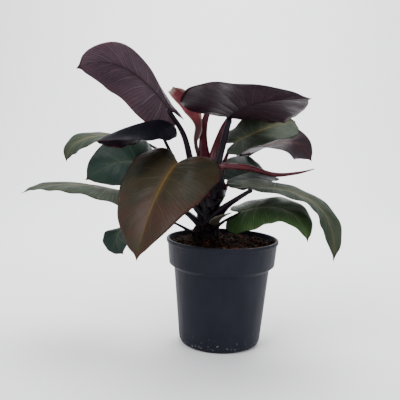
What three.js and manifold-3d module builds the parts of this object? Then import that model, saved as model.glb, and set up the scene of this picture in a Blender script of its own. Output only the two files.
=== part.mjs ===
import * as THREE from 'three';
import { mergeVertices } from 'three/addons/utils/BufferGeometryUtils.js';
import Module from 'manifold-3d';

// A potted cherry red philodendron: a short leaning stem in a nursery pot, fifteen heart-shaped
// leaves on sheathed petioles, a rolled new leaf and the pink sheath it came out of.
// Millimetres. +Z is up, the origin is on the floor under the pot's centre, and -Y is the front.

const wasm = await Module();
wasm.setup();

// Driving dimensions
const CLEARANCE = 0.35;
const TURN_SEGMENTS = 36;

const POT = {
  height: 162,
  rimRadius: 85,
  lipDepth: 6,
  collarTop: 83,
  collarBottom: { radius: 80.2, z: 124 },
  bodyTop: { radius: 72.4, z: 117.5 },
  bodyBottom: { radius: 62.5, z: 12 },
  footRadius: 55,
  footWidth: 7,
  footRise: 3,
  discRadius: 22,
  wall: 1.8,
  holeCount: 8,
  holeRadius: 4,
  holeCircle: 35,
};

const SOIL = { level: 153, mound: 7, moundRadius: 34, relief: 1.6, rings: 5, lumps: 0.24 };

const STEM = {
  foot: [-27, 2, 96],
  soilLine: [-25, 2, 165],
  crown: [-13, 0, 240],
  footRadius: 15,
  crownRadius: 9.5,
  steps: 18,
  sides: 12,
  scarCount: 8,
  scarHeight: 0.9,
  rootRadius: 2.3,
};

// The rib under the blade reaches its depth over the first rows.
const BLADE = {
  thickness: 1.1, ribDepth: 2.2, ribHalfWidth: 2.2, ribStart: 2, rows: 14, columns: 3,
};

// A petiole reaches a little way under its blade, and its end lies lower than the blade's sheet.
const PETIOLE = {
  steps: 8, sides: 8, tipShare: 0.5, sheathShare: 0.55, sheathSpread: 1.6, flat: 0.55,
  underBlade: 3, seatDepth: 0.5,
};

// Half of a flat blade, from the notch at the petiole round the lobe to the tip.
// Across is a share of the half width, along is a share of the midrib's length.
const HALF_OUTLINE = [
  [0, 0], [0.16, -0.09], [0.42, -0.15], [0.74, -0.13], [0.95, -0.03], [1, 0.12], [0.97, 0.3],
  [0.87, 0.48], [0.71, 0.65], [0.5, 0.79], [0.27, 0.9], [0.08, 0.955], [0, 1],
];

// How fast the side veins' roots run up the midrib while their ends run round the margin.
const VEIN_SWEEP = 2.4;

const COLOURS = {
  burgundy: 0x3c2a33,
  nearBlack: 0x1f1b24,
  bronze: 0x4b4137,
  green: 0x2d4b28,
  deepGreen: 0x233c32,
  sage: 0x5f6955,
  petioleRed: 0x5a1f2b,
  petioleDark: 0x2a1a26,
  cherry: 0x6a2029,
  pink: 0x96605c,
  bark: 0x251d1b,
  soil: 0x35241b,
  pot: 0x2b2e36,
};

// Each leaf has its midrib's base, pull point and tip, the way its upper face looks at the base
// and at the tip, its half width, how far its left and right halves are folded up at the base and
// then at the tip, the droop of its margins, and the wave of its margins as height, count and
// phase. Its petiole has the height of its foot in the stem, the bends it passes and a radius.
const LEAVES = [
  {
    name: 'upper_left', colour: 'burgundy', halfWidth: 52,
    midrib: [[-83, -5, 353], [-160, -5, 445], [-213, -55, 405]],
    face: [[0.5, 0, 0.8], [-0.2, 0.9, 0.5]], fold: [25, -35, 20, 5],
    droop: 20, wave: [3, 1.5, 0.2],
    petiole: {
      foot: 216, bends: [[-44, -9, 262], [-62, -8, 318]], radius: 8.2, colour: 'petioleDark',
    },
  },
  {
    name: 'upper_right', colour: 'burgundy', halfWidth: 78,
    midrib: [[3, -5, 345], [25, -75, 370], [103, -148, 370]],
    face: [[0, 0.6, 0.8], [0.3, 0.5, 0.8]], fold: [25, 20, 20, -5],
    droop: 15, wave: [6, 1.8, 0.25],
    petiole: {
      foot: 226, bends: [[-13, -6, 272], [-5, -2, 306]], radius: 9, colour: 'petioleDark',
    },
  },
  {
    name: 'mid_left', colour: 'nearBlack', halfWidth: 41,
    midrib: [[-103, -8, 338], [-140, -70, 330], [-177, -105, 306]],
    face: [[-0.1, -0.1, 1], [-0.6, -0.3, 0.7]], fold: [-25, -30, -20, -30],
    droop: 20, wave: [1, 2, 0.3],
    petiole: {
      foot: 199, bends: [[-55, -8, 248], [-82, -4, 292]], radius: 5, colour: 'petioleDark',
    },
  },
  {
    name: 'far_left', colour: 'sage', halfWidth: 41,
    midrib: [[-138, 85, 307], [-260, 85, 320], [-260, 90, 263]],
    face: [[0.2, 0, 1], [-0.6, -0.7, 0.4]], fold: [10, 0, 10, 5],
    droop: 10, wave: [2, 2, 0.5],
    petiole: {
      foot: 199, bends: [[-54, 38, 250], [-96, 60, 284]], radius: 4.6, colour: 'petioleDark',
    },
  },
  {
    name: 'front', colour: 'bronze', halfWidth: 71,
    midrib: [[-70, -45, 277], [-100, -105, 240], [-115, -132, 152]],
    face: [[-0.3, -0.4, 0.8], [-0.7, -0.6, 0.2]], fold: [0, 30, 5, 30],
    droop: 20, wave: [3, 1.5, 0.05],
    petiole: {
      foot: 212, bends: [[-36, -24, 246], [-56, -34, 268]], radius: 5.5, colour: 'petioleRed',
    },
  },
  {
    name: 'left', colour: 'deepGreen', halfWidth: 47,
    midrib: [[-112, -5, 269], [-155, -30, 290], [-209, -6, 244]],
    face: [[0.1, -0.5, 0.8], [-0.1, -1, 0.2]], fold: [10, 15, 10, 20],
    droop: 10, wave: [3, 2, 0.35],
    petiole: {
      foot: 189, bends: [[-58, -4, 227], [-90, -3, 255]], radius: 5, colour: 'petioleDark',
    },
  },
  {
    name: 'low_left', colour: 'sage', halfWidth: 50,
    midrib: [[-147, 22, 222], [-255, 30, 247], [-315, 20, 217]],
    face: [[0, 0, 1], [0.1, -0.1, 1]], fold: [0, 0, 15, 15],
    droop: 15, wave: [1.5, 2.5, 0.2],
    petiole: {
      foot: 174, bends: [[-60, 5, 202], [-105, 14, 214]], radius: 4.8, colour: 'petioleDark',
    },
  },
  {
    name: 'low_front_left', colour: 'deepGreen', halfWidth: 35,
    midrib: [[-125, -12, 197], [-175, -40, 167], [-147, -26, 137]],
    face: [[-0.3, 0.4, 0.9], [-0.2, -1, 0.1]], fold: [10, 0, 10, 10],
    droop: 15, wave: [4, 3.5, 0.9],
    petiole: {
      foot: 160, bends: [[-50, -10, 174], [-80, -13, 188]], radius: 3.4, colour: 'petioleDark',
    },
  },
  {
    name: 'right_behind', colour: 'sage', halfWidth: 53,
    midrib: [[15, 39, 306], [80, 45, 340], [115, 105, 341]],
    face: [[-0.5, -0.4, 0.8], [0.5, -0.5, 0.6]], fold: [5, 10, 5, 10],
    droop: 5, wave: [3, 2, 0.15],
    petiole: {
      foot: 230, bends: [[-3, 12, 270], [5, 25, 292]], radius: 4, colour: 'petioleRed',
    },
  },
  {
    name: 'right_drooping', colour: 'burgundy', halfWidth: 44,
    midrib: [[44, 138, 282], [127, 142, 333], [153, 157, 272]],
    face: [[-0.4, -0.6, 0.7], [0.2, -1, 0.1]], fold: [-15, 55, -25, -10],
    droop: 0, wave: [0.5, 2, 0.15],
    petiole: {
      foot: 219, bends: [[-3, 44, 249], [17, 95, 278]], radius: 4.4, colour: 'petioleDark',
    },
  },
  {
    name: 'low_right', colour: 'sage', halfWidth: 45,
    midrib: [[36, -47, 245], [170, -25, 250], [157, -66, 145]],
    face: [[0.1, -0.1, 1], [0.5, -0.4, 0.7]], fold: [10, 20, 5, 5],
    droop: 10, wave: [3, 2.5, 0.55],
    petiole: {
      foot: 184, bends: [[0, -18, 212], [18, -36, 228]], radius: 7, colour: 'petioleDark',
    },
  },
  {
    name: 'right_inner', colour: 'deepGreen', halfWidth: 45,
    midrib: [[6, 28, 249], [78, 82, 272], [69, 96, 247]],
    face: [[-0.3, -0.6, 0.7], [0, -0.7, 0.7]], fold: [10, 10, 15, 15],
    droop: 5, wave: [0.5, 2, 0.2],
    petiole: {
      foot: 206, bends: [[-3, 13, 224], [3, 20, 238]], radius: 4.2, colour: 'petioleDark',
    },
  },
  {
    name: 'low_front_right', colour: 'green', halfWidth: 43,
    midrib: [[24, 0, 203], [110, -37, 238], [120, -62, 171]],
    face: [[0, -0.5, 0.9], [0.6, -0.6, 0.5]], fold: [0, 0, 10, 15],
    droop: 15, wave: [1, 2, 0],
    petiole: {
      foot: 170, bends: [[-8, -12, 184], [6, -8, 193]], radius: 4, colour: 'petioleDark',
    },
  },
  {
    name: 'back_left', colour: 'burgundy', halfWidth: 44,
    midrib: [[-24, 46, 366], [-14, 105, 398], [4, 162, 390]],
    face: [[0, -0.1, 1], [0, 0.1, 1]], fold: [4, 4, 4, 4],
    droop: 8, wave: [2, 2, 0.1],
    petiole: {
      foot: 232, bends: [[-32, 12, 288], [-33, 32, 336]], radius: 7.6, colour: 'petioleRed',
    },
  },
  {
    name: 'back_right', colour: 'bronze', halfWidth: 42,
    midrib: [[14, 62, 360], [50, 98, 378], [110, 138, 370]],
    face: [[0, -0.1, 1], [0.1, 0.1, 1]], fold: [4, 4, 4, 4],
    droop: 8, wave: [2, 2, 0.3],
    petiole: {
      foot: 234, bends: [[-18, 8, 280], [-4, 34, 328]], radius: 7.6, colour: 'petioleRed',
    },
  },
];

const NEW_LEAF = {
  path: [
    [-11, -6, 236], [-16, -20, 262], [-5, -26, 273], [33, -32, 272], [72, -38, 264],
    [107, -42, 269], [127, -45, 275],
  ],
  radii: [3.2, 4.2, 5.2, 4.8, 3.8, 2, 0.7],
  steps: 16,
  sides: 10,
  seam: 0.22,
  twist: 1.6,
};

const CATAPHYLL = {
  midline: [
    [-22, 8, 240], [-37, 10, 276], [-46, 11, 306], [-43, 14, 328], [-56, 19, 352], [-74, 20, 371],
    [-87, 20, 382],
  ],
  halfWidths: [3.5, 3.5, 4, 7, 18, 17, 9],
  face: [[0.5, -0.8, 0.3], [0.55, -0.7, 0.45]],
  trough: 55,
  thickness: 0.9,
  rows: 14,
  columns: 3,
};

const BRACT = {
  midline: [[-16, -15, 184], [-10, -24, 193], [0, -28, 200], [11, -27, 205]],
  halfWidths: [7, 7, 5, 0.8],
  face: [[0.2, 0.5, 0.8], [0, 0.4, 0.9]],
  trough: 35,
  thickness: 0.9,
  rows: 7,
  columns: 2,
};

const ROOTS = [
  [[-20, -2, 200], [-9, -8, 186], [-8, -11, 158], [-11, -12, 128]],
  [[-24, 2, 196], [-38, -8, 180], [-41, -13, 156], [-38, -15, 130]],
  [[-22, 4, 204], [-14, 17, 188], [-12, 22, 160], [-16, 24, 126]],
  [[-26, 4, 190], [-42, 12, 174], [-46, 15, 154], [-42, 18, 132]],
];

// Small helpers
const { lerp, clamp, degToRad } = THREE.MathUtils;
const vec = ([x, y, z]) => new THREE.Vector3(x, y, z);
const UP = new THREE.Vector3(0, 0, 1);

function spline(points) {
  return new THREE.CatmullRomCurve3(points.map(vec), false, 'centripetal');
}

function along(values, share) {
  const place = clamp(share, 0, 1) * (values.length - 1);
  const index = Math.min(Math.floor(place), values.length - 2);
  return lerp(values[index], values[index + 1], place - index);
}

function facing(face, share) {
  return vec(face[0]).lerp(vec(face[1]), clamp(share, 0, 1)).normalize();
}

// Closed meshes and solids
function toSolid(geometry) {
  geometry.deleteAttribute('uv');
  geometry.deleteAttribute('normal');
  const merged = mergeVertices(geometry, 1e-4);
  const index = merged.index.array;
  const kept = [];
  for (let k = 0; k < index.length; k += 3) {
    const [a, b, c] = [index[k], index[k + 1], index[k + 2]];
    if (a !== b && b !== c && c !== a) kept.push(a, b, c);
  }
  return new wasm.Manifold(new wasm.Mesh({
    numProp: 3,
    vertProperties: new Float32Array(merged.attributes.position.array),
    triVerts: new Uint32Array(kept),
  }));
}

function solidFrom(points, faces) {
  const geometry = new THREE.BufferGeometry();
  const numbers = points.flatMap((p) => p.toArray());
  geometry.setAttribute('position', new THREE.Float32BufferAttribute(numbers, 3));
  geometry.setIndex(faces.flat());
  return toSolid(geometry);
}

function largestPiece(solid) {
  const pieces = solid.decompose();
  return pieces.reduce((best, piece) => (piece.volume() > best.volume() ? piece : best));
}

// A sheet is a list of rows of points from its start to its end, and each row runs from the left
// margin to the right one. The first and last rows may be a single point.
function sheetFaces(rows) {
  const starts = [];
  let count = 0;
  for (const row of rows) {
    starts.push(count);
    count += row.length;
  }
  const faces = [];
  for (let i = 0; i + 1 < rows.length; i += 1) {
    const [low, high] = [rows[i].length, rows[i + 1].length];
    const [a, b] = [starts[i], starts[i + 1]];
    for (let j = 0; j + 1 < Math.max(low, high); j += 1) {
      if (low === 1) faces.push([a, b + j + 1, b + j]);
      else if (high === 1) faces.push([a + j, a + j + 1, b]);
      else faces.push([a + j, b + j + 1, b + j], [a + j, a + j + 1, b + j + 1]);
    }
  }
  return { faces, starts, count };
}

function sheetRim(rows, starts) {
  const right = rows.map((row, i) => starts[i] + row.length - 1);
  const left = rows.map((row, i) => starts[i]);
  const first = rows[0].map((_, j) => starts[0] + j);
  const last = rows.at(-1).map((_, j) => starts.at(-1) + j);
  const loop = [...left, ...last, ...right.reverse(), ...first.reverse()];
  return loop.filter((point, k) => point !== loop[(k + 1) % loop.length]);
}

function thickSheet(rows, above, below) {
  const { faces, starts, count } = sheetFaces(rows);
  const middle = rows.flat();
  const geometry = new THREE.BufferGeometry();
  const numbers = middle.flatMap((p) => p.toArray());
  geometry.setAttribute('position', new THREE.Float32BufferAttribute(numbers, 3));
  geometry.setIndex(faces.flat());
  geometry.computeVertexNormals();
  const { normal } = geometry.attributes;
  const normals = middle.map((_, k) => new THREE.Vector3().fromBufferAttribute(normal, k));
  const top = middle.map((p, k) => p.clone().addScaledVector(normals[k], above(k)));
  const bottom = middle.map((p, k) => p.clone().addScaledVector(normals[k], -below(k)));
  const under = faces.map(([a, b, c]) => [count + a, count + c, count + b]);
  const rim = sheetRim(rows, starts);
  const walls = rim.flatMap((a, k) => {
    const b = rim[(k + 1) % rim.length];
    return [[a, count + b, count + a], [a, b, count + b]];
  });
  return solidFrom([...top, ...bottom], [...faces, ...under, ...walls]);
}

// Leaf blades
const outline = new THREE.SplineCurve(HALF_OUTLINE.map(([x, y]) => new THREE.Vector2(x, y)));

class Blade {
  constructor(leaf) {
    this.leaf = leaf;
    this.midrib = new THREE.QuadraticBezierCurve3(...leaf.midrib.map(vec));
    this.length = this.midrib.getLength();
  }

  frame(share) {
    const place = clamp(share, 0, 1);
    const tangent = this.midrib.getTangent(place);
    const side = tangent.clone().cross(facing(this.leaf.face, place)).normalize();
    const up = side.clone().cross(tangent);
    const point = this.midrib.getPoint(place).addScaledVector(tangent, (share - place) * this.length);
    return { point, tangent, side, up };
  }

  // hand is -1 on the left half and 1 on the right, reach runs from the midrib to the margin.
  point(sweep, hand, reach, widen = 0) {
    const rim = outline.getPoint(sweep);
    const root = sweep ** VEIN_SWEEP;
    const { halfWidth, fold, droop, wave } = this.leaf;
    const across = rim.x * (halfWidth + widen) * reach;
    const place = lerp(root, rim.y, reach);
    const { point, side, up } = this.frame(place);
    const share = across / halfWidth;
    const half = hand < 0 ? 0 : 1;
    const folded = lerp(fold[half], fold[half + 2], clamp(place, 0, 1));
    const angle = degToRad(folded - droop * share);
    const phase = 2 * Math.PI * (wave[1] * sweep + wave[2]) + hand;
    const ripple = wave[0] * share ** 2 * Math.sin(phase);
    return point
      .addScaledVector(side, hand * across * Math.cos(angle))
      .addScaledVector(up, across * Math.sin(angle) + ripple);
  }

  rows(widen) {
    const { rows, columns, ribHalfWidth } = BLADE;
    const result = [];
    for (let i = 0; i <= rows; i += 1) {
      const sweep = i / rows;
      if (i === 0 || i === rows) {
        result.push([this.point(sweep, 1, 0)]);
        continue;
      }
      const span = outline.getPoint(sweep).x * this.leaf.halfWidth;
      const rib = Math.min(0.3, ribHalfWidth / span);
      const reaches = [rib];
      for (let j = 1; j <= columns; j += 1) reaches.push(lerp(rib, 1, j / columns));
      const left = reaches.toReversed().map((reach) => this.point(sweep, -1, reach, widen));
      const right = reaches.map((reach) => this.point(sweep, 1, reach, widen));
      result.push([...left, this.point(sweep, 1, 0), ...right]);
    }
    return result;
  }

  solid(grow = 0) {
    const rows = this.rows(grow);
    const half = BLADE.thickness / 2 + grow;
    const rib = rows.flatMap((row, i) => row.map((_, j) => {
      const onRib = j === (row.length - 1) / 2;
      const swell = Math.min(1, i / BLADE.ribStart);
      return onRib ? BLADE.ribDepth * swell * (1 - i / (rows.length - 1)) : 0;
    }));
    return thickSheet(rows, () => half, (k) => half + rib[k]);
  }
}

// Round and flattened stalks along a path
function stalk(path, steps, sides, section) {
  const points = [];
  for (let i = 0; i <= steps; i += 1) {
    const share = i / steps;
    const centre = path.getPoint(share);
    const tangent = path.getTangent(share);
    for (let k = 0; k < sides; k += 1) {
      points.push(section(centre.clone(), tangent, share, (2 * Math.PI * k) / sides));
    }
  }
  const faces = [];
  for (let i = 0; i < steps; i += 1) {
    for (let k = 0; k < sides; k += 1) {
      const [a, b] = [i * sides + k, i * sides + ((k + 1) % sides)];
      faces.push([a, b, b + sides], [a, b + sides, a + sides]);
    }
  }
  const ends = [points.length, points.length + 1];
  points.push(path.getPoint(0), path.getPoint(1));
  const last = steps * sides;
  for (let k = 0; k < sides; k += 1) {
    const next = (k + 1) % sides;
    faces.push([ends[0], next, k], [ends[1], last + k, last + next]);
  }
  return solidFrom(points, faces);
}

function around(tangent, reference) {
  const inner = reference.clone().addScaledVector(tangent, -reference.dot(tangent)).normalize();
  return { inner, side: tangent.clone().cross(inner) };
}

function roundStalk(points, radius, steps, sides, grow = 0) {
  return stalk(spline(points), steps, sides, (centre, tangent, share, angle) => {
    const { inner, side } = around(tangent, new THREE.Vector3(0, 1, 0));
    const reach = radius(share, angle) + grow;
    return centre
      .addScaledVector(inner, reach * Math.cos(angle))
      .addScaledVector(side, reach * Math.sin(angle));
  });
}

// The centre of the stem at a height
function stemCentre(height) {
  const path = spline([STEM.foot, STEM.soilLine, STEM.crown]);
  const points = path.getPoints(STEM.steps);
  const index = clamp(points.findIndex((p) => p.z > height), 1, STEM.steps);
  const [low, high] = [points[index - 1], points[index]];
  return low.clone().lerp(high, (height - low.z) / (high.z - low.z));
}

// Petioles: flattened on the side that faces the stem, with a wide sheath at the foot.
function petiole(leaf, blade, grow = 0) {
  const { foot, bends, radius } = leaf.petiole;
  const { point, tangent, up } = blade.frame(0);
  const tipRadius = radius * PETIOLE.tipShare;
  const seat = point
    .addScaledVector(up, -PETIOLE.seatDepth * tipRadius)
    .addScaledVector(tangent, PETIOLE.underBlade);
  const base = stemCentre(foot);
  const outward = seat.clone().sub(base).setZ(0).normalize();
  const reference = UP.clone().sub(outward);
  const path = spline([base.toArray(), ...bends, seat.toArray()]);
  return stalk(path, PETIOLE.steps, PETIOLE.sides, (centre, direction, share, angle) => {
    const { inner, side } = around(direction, reference);
    const size = lerp(radius, tipRadius, share);
    const spread = 1 + PETIOLE.sheathSpread * Math.max(0, 1 - share / PETIOLE.sheathShare) ** 1.5;
    const thick = size * lerp(1, spread, 0.5);
    const depth = thick * Math.cos(angle) * (Math.cos(angle) > 0 ? PETIOLE.flat : 1);
    const width = size * spread * Math.sin(angle);
    return centre
      .addScaledVector(inner, depth + grow * Math.cos(angle))
      .addScaledVector(side, width + grow * Math.sin(angle));
  });
}

// Sheaths: a trough along a midline
function sheath({ midline, halfWidths, face, trough, thickness, rows, columns }, grow = 0) {
  const path = spline(midline);
  const sheet = [];
  for (let i = 0; i <= rows; i += 1) {
    const share = i / rows;
    const tangent = path.getTangent(share);
    const side = tangent.clone().cross(facing(face, share)).normalize();
    const up = side.clone().cross(tangent);
    const width = along(halfWidths, share) + grow;
    const row = [];
    for (let j = -columns; j <= columns; j += 1) {
      const turn = degToRad(trough) * (j / columns);
      const reach = width / degToRad(trough);
      row.push(path.getPoint(share)
        .addScaledVector(side, reach * Math.sin(turn))
        .addScaledVector(up, reach * (1 - Math.cos(turn))));
    }
    sheet.push(row);
  }
  const half = () => thickness / 2 + grow;
  return thickSheet(sheet, half, half);
}

function newLeaf(grow = 0) {
  const { path, radii, steps, sides, seam, twist } = NEW_LEAF;
  const rolled = (share, angle) => {
    const turned = (angle / (2 * Math.PI) + twist * share) % 1;
    return along(radii, share) * (1 - seam * turned);
  };
  return roundStalk(path, rolled, steps, sides, grow);
}

// The stem with its leaf scars and the roots grown from it
function stem(grow = 0) {
  const { foot, soilLine, crown, footRadius, crownRadius, steps, sides } = STEM;
  const girth = (share) => {
    const scar = STEM.scarHeight * Math.cos(2 * Math.PI * STEM.scarCount * share) ** 2;
    return lerp(footRadius, crownRadius, share) + scar;
  };
  const trunk = roundStalk([foot, soilLine, crown], girth, steps, sides, grow);
  return ROOTS.reduce((whole, points) => {
    const taper = (share) => STEM.rootRadius * lerp(1.25, 0.7, share);
    return whole.add(roundStalk(points, taper, 8, 6, grow));
  }, trunk);
}

// The pot and the soil are turned round the same axis with the same facets.
function turned(profile) {
  const points = profile.map(([r, z]) => new THREE.Vector2(r, z));
  const geometry = new THREE.LatheGeometry(points, TURN_SEGMENTS);
  geometry.rotateX(Math.PI / 2);
  return toSolid(geometry);
}

function cylinder(radius, low, high, x, y) {
  const geometry = new THREE.CylinderGeometry(radius, radius, high - low, 8);
  geometry.rotateX(Math.PI / 2);
  geometry.translate(x, y, (low + high) / 2);
  return toSolid(geometry);
}

// The inside of the pot's wall from the floor to the lip, moved inward by a gap
function insideWall(gap) {
  const { wall, collarTop, collarBottom, bodyTop, bodyBottom, height } = POT;
  const inset = wall + gap;
  return [
    [bodyBottom.radius - inset, bodyBottom.z],
    [bodyTop.radius - inset, bodyTop.z + wall],
    [collarBottom.radius - inset, collarBottom.z + wall],
    [collarTop - inset, height],
  ];
}

function pot() {
  const { height, rimRadius, lipDepth, collarTop, collarBottom, bodyTop, bodyBottom } = POT;
  const { footRadius, footWidth, footRise, discRadius, wall } = POT;
  const footInner = footRadius - footWidth;
  const outside = [
    [0, 0], [discRadius, 0], [discRadius + 2, footRise], [footInner, footRise], [footInner + 1, 0],
    [footRadius, 0], [footRadius + 4.5, 2.5], [bodyBottom.radius - 0.8, 7],
    [bodyBottom.radius, bodyBottom.z],
    [bodyTop.radius, bodyTop.z], [collarBottom.radius, collarBottom.z],
    [collarTop, height - lipDepth], [rimRadius - 0.4, height - lipDepth + 0.6],
    [rimRadius, height - lipDepth + 2], [rimRadius, height - 1], [rimRadius - 0.8, height],
  ];
  const inside = [
    ...insideWall(0).reverse(), [footRadius, footRise + wall], [discRadius, footRise + wall],
    [discRadius - 2, wall], [0, wall],
  ];
  let body = turned([...outside, ...inside]);
  for (let k = 0; k < POT.holeCount; k += 1) {
    const angle = (2 * Math.PI * (k + 0.5)) / POT.holeCount;
    const [x, y] = [POT.holeCircle * Math.sin(angle), POT.holeCircle * Math.cos(angle)];
    body = body.subtract(cylinder(POT.holeRadius, -1, footRise + wall + 1, x, y));
  }
  return body;
}

function soilHeight(x, y) {
  const { level, mound, moundRadius, relief, lumps } = SOIL;
  const [stemX, stemY] = STEM.soilLine;
  const near = Math.exp(-((x - stemX) ** 2 + (y - stemY) ** 2) / moundRadius ** 2);
  const waves = Math.sin(lumps * (x + 0.6 * y)) + Math.sin(lumps * (1.7 * y - 0.9 * x) + 1.7)
    + Math.sin(lumps * (2.3 * x + 1.1 * y) + 0.6);
  return level + mound * near + relief * waves;
}

function soil() {
  const floor = POT.footRise + POT.wall + CLEARANCE;
  const wall = insideWall(CLEARANCE);
  const [, , shoulder, lip] = wall;
  const edge = lerp(shoulder[0], lip[0], (SOIL.level - shoulder[1]) / (lip[1] - shoulder[1]));
  const sides = [[POT.footRadius - CLEARANCE, floor], ...wall.slice(0, 3)];
  const ring = (radius, z) => Array.from({ length: TURN_SEGMENTS }, (_, k) => {
    const angle = (2 * Math.PI * k) / TURN_SEGMENTS;
    const [x, y] = [radius * Math.sin(angle), -radius * Math.cos(angle)];
    return new THREE.Vector3(x, y, z ?? soilHeight(x, y));
  });
  const rings = sides.map(([radius, z]) => ring(radius, z));
  for (let i = 0; i < SOIL.rings; i += 1) rings.push(ring(edge * (1 - i / SOIL.rings)));
  const bottom = new THREE.Vector3(0, 0, floor);
  const top = new THREE.Vector3(0, 0, soilHeight(0, 0));
  const points = [bottom, ...rings.flat(), top];
  const faces = [];
  const at = (i, k) => 1 + i * TURN_SEGMENTS + (k % TURN_SEGMENTS);
  for (let k = 0; k < TURN_SEGMENTS; k += 1) {
    faces.push([0, at(0, k + 1), at(0, k)]);
    for (let i = 0; i + 1 < rings.length; i += 1) {
      const [a, b, c, d] = [at(i, k), at(i, k + 1), at(i + 1, k + 1), at(i + 1, k)];
      faces.push([a, b, c], [a, c, d]);
    }
    faces.push([at(rings.length - 1, k), at(rings.length - 1, k + 1), points.length - 1]);
  }
  return solidFrom(points, faces);
}

// Assembly
const plant = new THREE.Group();

function addNode(name, solid, colour, roughness) {
  const { vertProperties, triVerts } = solid.getMesh();
  const geometry = new THREE.BufferGeometry();
  geometry.setAttribute('position', new THREE.BufferAttribute(vertProperties, 3));
  geometry.setIndex(new THREE.BufferAttribute(triVerts, 1));
  geometry.computeVertexNormals();
  const look = { color: COLOURS[colour], roughness, metalness: 0 };
  const material = new THREE.MeshStandardMaterial(look);
  const mesh = new THREE.Mesh(geometry, material);
  mesh.name = name;
  plant.add(mesh);
}

// Stalks clasp each other where they leave the stem, so each one is cut clear of those before it.
const placed = [stem(CLEARANCE)];

function clearOf(solid, others) {
  return largestPiece(others.reduce((left, other) => left.subtract(other), solid));
}

addNode('pot', pot(), 'pot', 0.5);
addNode('stem', stem(), 'bark', 0.8);
addNode('soil', soil().subtract(placed[0]), 'soil', 0.95);

for (const leaf of LEAVES) {
  const blade = new Blade(leaf);
  const stalkSolid = clearOf(petiole(leaf, blade), [blade.solid(), blade.solid(CLEARANCE), ...placed]);
  placed.push(petiole(leaf, blade, CLEARANCE));
  addNode(`leaf_${leaf.name}`, blade.solid(), leaf.colour, 0.35);
  addNode(`petiole_${leaf.name}`, stalkSolid, leaf.petiole.colour, 0.4);
}

addNode('new_leaf', clearOf(newLeaf(), placed), 'cherry', 0.35);
placed.push(newLeaf(CLEARANCE));
addNode('cataphyll', clearOf(sheath(CATAPHYLL), placed), 'pink', 0.5);
placed.push(sheath(CATAPHYLL, CLEARANCE));
addNode('bract', clearOf(sheath(BRACT), placed), 'sage', 0.6);

export default plant;
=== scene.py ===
"""A potted cherry red philodendron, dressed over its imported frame.

Sizes are in millimetres until a mesh is finished, and the axes are the frame's own.
"""

import logging
import math
import random
from collections.abc import Callable, Sequence
from dataclasses import dataclass, field
from enum import Enum

import bmesh
import bpy
from mathutils import Matrix, Vector, noise


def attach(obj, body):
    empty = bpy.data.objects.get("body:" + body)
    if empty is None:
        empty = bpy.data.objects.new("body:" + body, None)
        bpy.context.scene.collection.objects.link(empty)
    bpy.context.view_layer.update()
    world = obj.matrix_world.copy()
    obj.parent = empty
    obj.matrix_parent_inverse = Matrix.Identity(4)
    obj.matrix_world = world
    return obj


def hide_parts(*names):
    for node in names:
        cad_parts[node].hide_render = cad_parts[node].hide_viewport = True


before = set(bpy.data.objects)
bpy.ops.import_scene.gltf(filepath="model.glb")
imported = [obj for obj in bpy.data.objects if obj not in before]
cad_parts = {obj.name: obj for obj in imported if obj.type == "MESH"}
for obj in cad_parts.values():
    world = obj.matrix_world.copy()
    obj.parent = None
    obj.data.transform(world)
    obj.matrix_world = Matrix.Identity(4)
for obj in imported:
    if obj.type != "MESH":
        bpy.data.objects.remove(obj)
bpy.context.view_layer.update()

LOG = logging.getLogger("philodendron")
MM = 0.001
TURN = 2 * math.pi
UP = Vector((0, 0, 1))

Point = tuple[float, float, float]
Colour = tuple[int, int, int]
Socket = bpy.types.NodeSocket


def lerp(low: float, high: float, share: float) -> float:
    """Return the value that lies at a share of the way from low to high."""
    return low + (high - low) * share


def clamp(value: float) -> float:
    """Return the value held between 0 and 1."""
    return min(max(value, 0.0), 1.0)


def along(values: Sequence[float], share: float) -> float:
    """Return a value from a list, read in a straight line between its entries.

    Args:
        values: The values at even steps.
        share: The place from 0 at the first value to 1 at the last.

    Returns:
        The value at that place.
    """
    place = clamp(share) * (len(values) - 1)
    index = min(int(place), len(values) - 2)
    return lerp(values[index], values[index + 1], place - index)


class Path:
    """A centripetal spline through a few points, as the frame's stalks follow."""

    def __init__(self, points: Sequence[Point]) -> None:
        """Keep the points and add one before the first and one after the last."""
        knots = [Vector(point) for point in points]
        before = 2 * knots[0] - knots[1]
        after = 2 * knots[-1] - knots[-2]
        self.knots = [before, *knots, after]

    def point(self, share: float) -> Vector:
        """Return the point at a share of the spline's parameter."""
        spans = len(self.knots) - 3
        place = clamp(share) * spans
        index = min(int(place), spans - 1)
        weight = place - index
        a, b, c, d = self.knots[index:index + 4]
        first = math.sqrt((b - a).length)
        middle = math.sqrt((c - b).length)
        last = math.sqrt((d - c).length)
        leave = ((b - a) / first - (c - a) / (first + middle) + (c - b) / middle) * middle
        reach = ((c - b) / middle - (d - b) / (middle + last) + (d - c) / last) * middle
        bend = 3 * (c - b) - 2 * leave - reach
        twist = 2 * (b - c) + leave + reach
        return b + leave * weight + bend * weight ** 2 + twist * weight ** 3

    def direction(self, share: float) -> Vector:
        """Return the unit direction of travel at a share of the spline."""
        step = 0.002
        return (self.point(share + step) - self.point(share - step)).normalized()


def grid(columns: int, rows: int, place: Callable[[float, float], Vector]) -> bmesh.types.BMesh:
    """Bend a flat grid into a surface and remember where each vertex came from.

    Args:
        columns: The number of faces across.
        rows: The number of faces along.
        place: Gives a vertex's place in millimetres from its two shares, 0 to 1.

    Returns:
        The bent grid, with the two shares in its "sheet" UV map.
    """
    shape = bmesh.new()
    bmesh.ops.create_grid(shape, x_segments=columns, y_segments=rows, size=0.5)
    chart = shape.loops.layers.uv.new("sheet")
    for face in shape.faces:
        for corner in face.loops:
            corner[chart].uv = (corner.vert.co.x + 0.5, corner.vert.co.y + 0.5)
    for vertex in shape.verts:
        vertex.co = place(vertex.co.x + 0.5, vertex.co.y + 0.5)
    return shape


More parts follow.
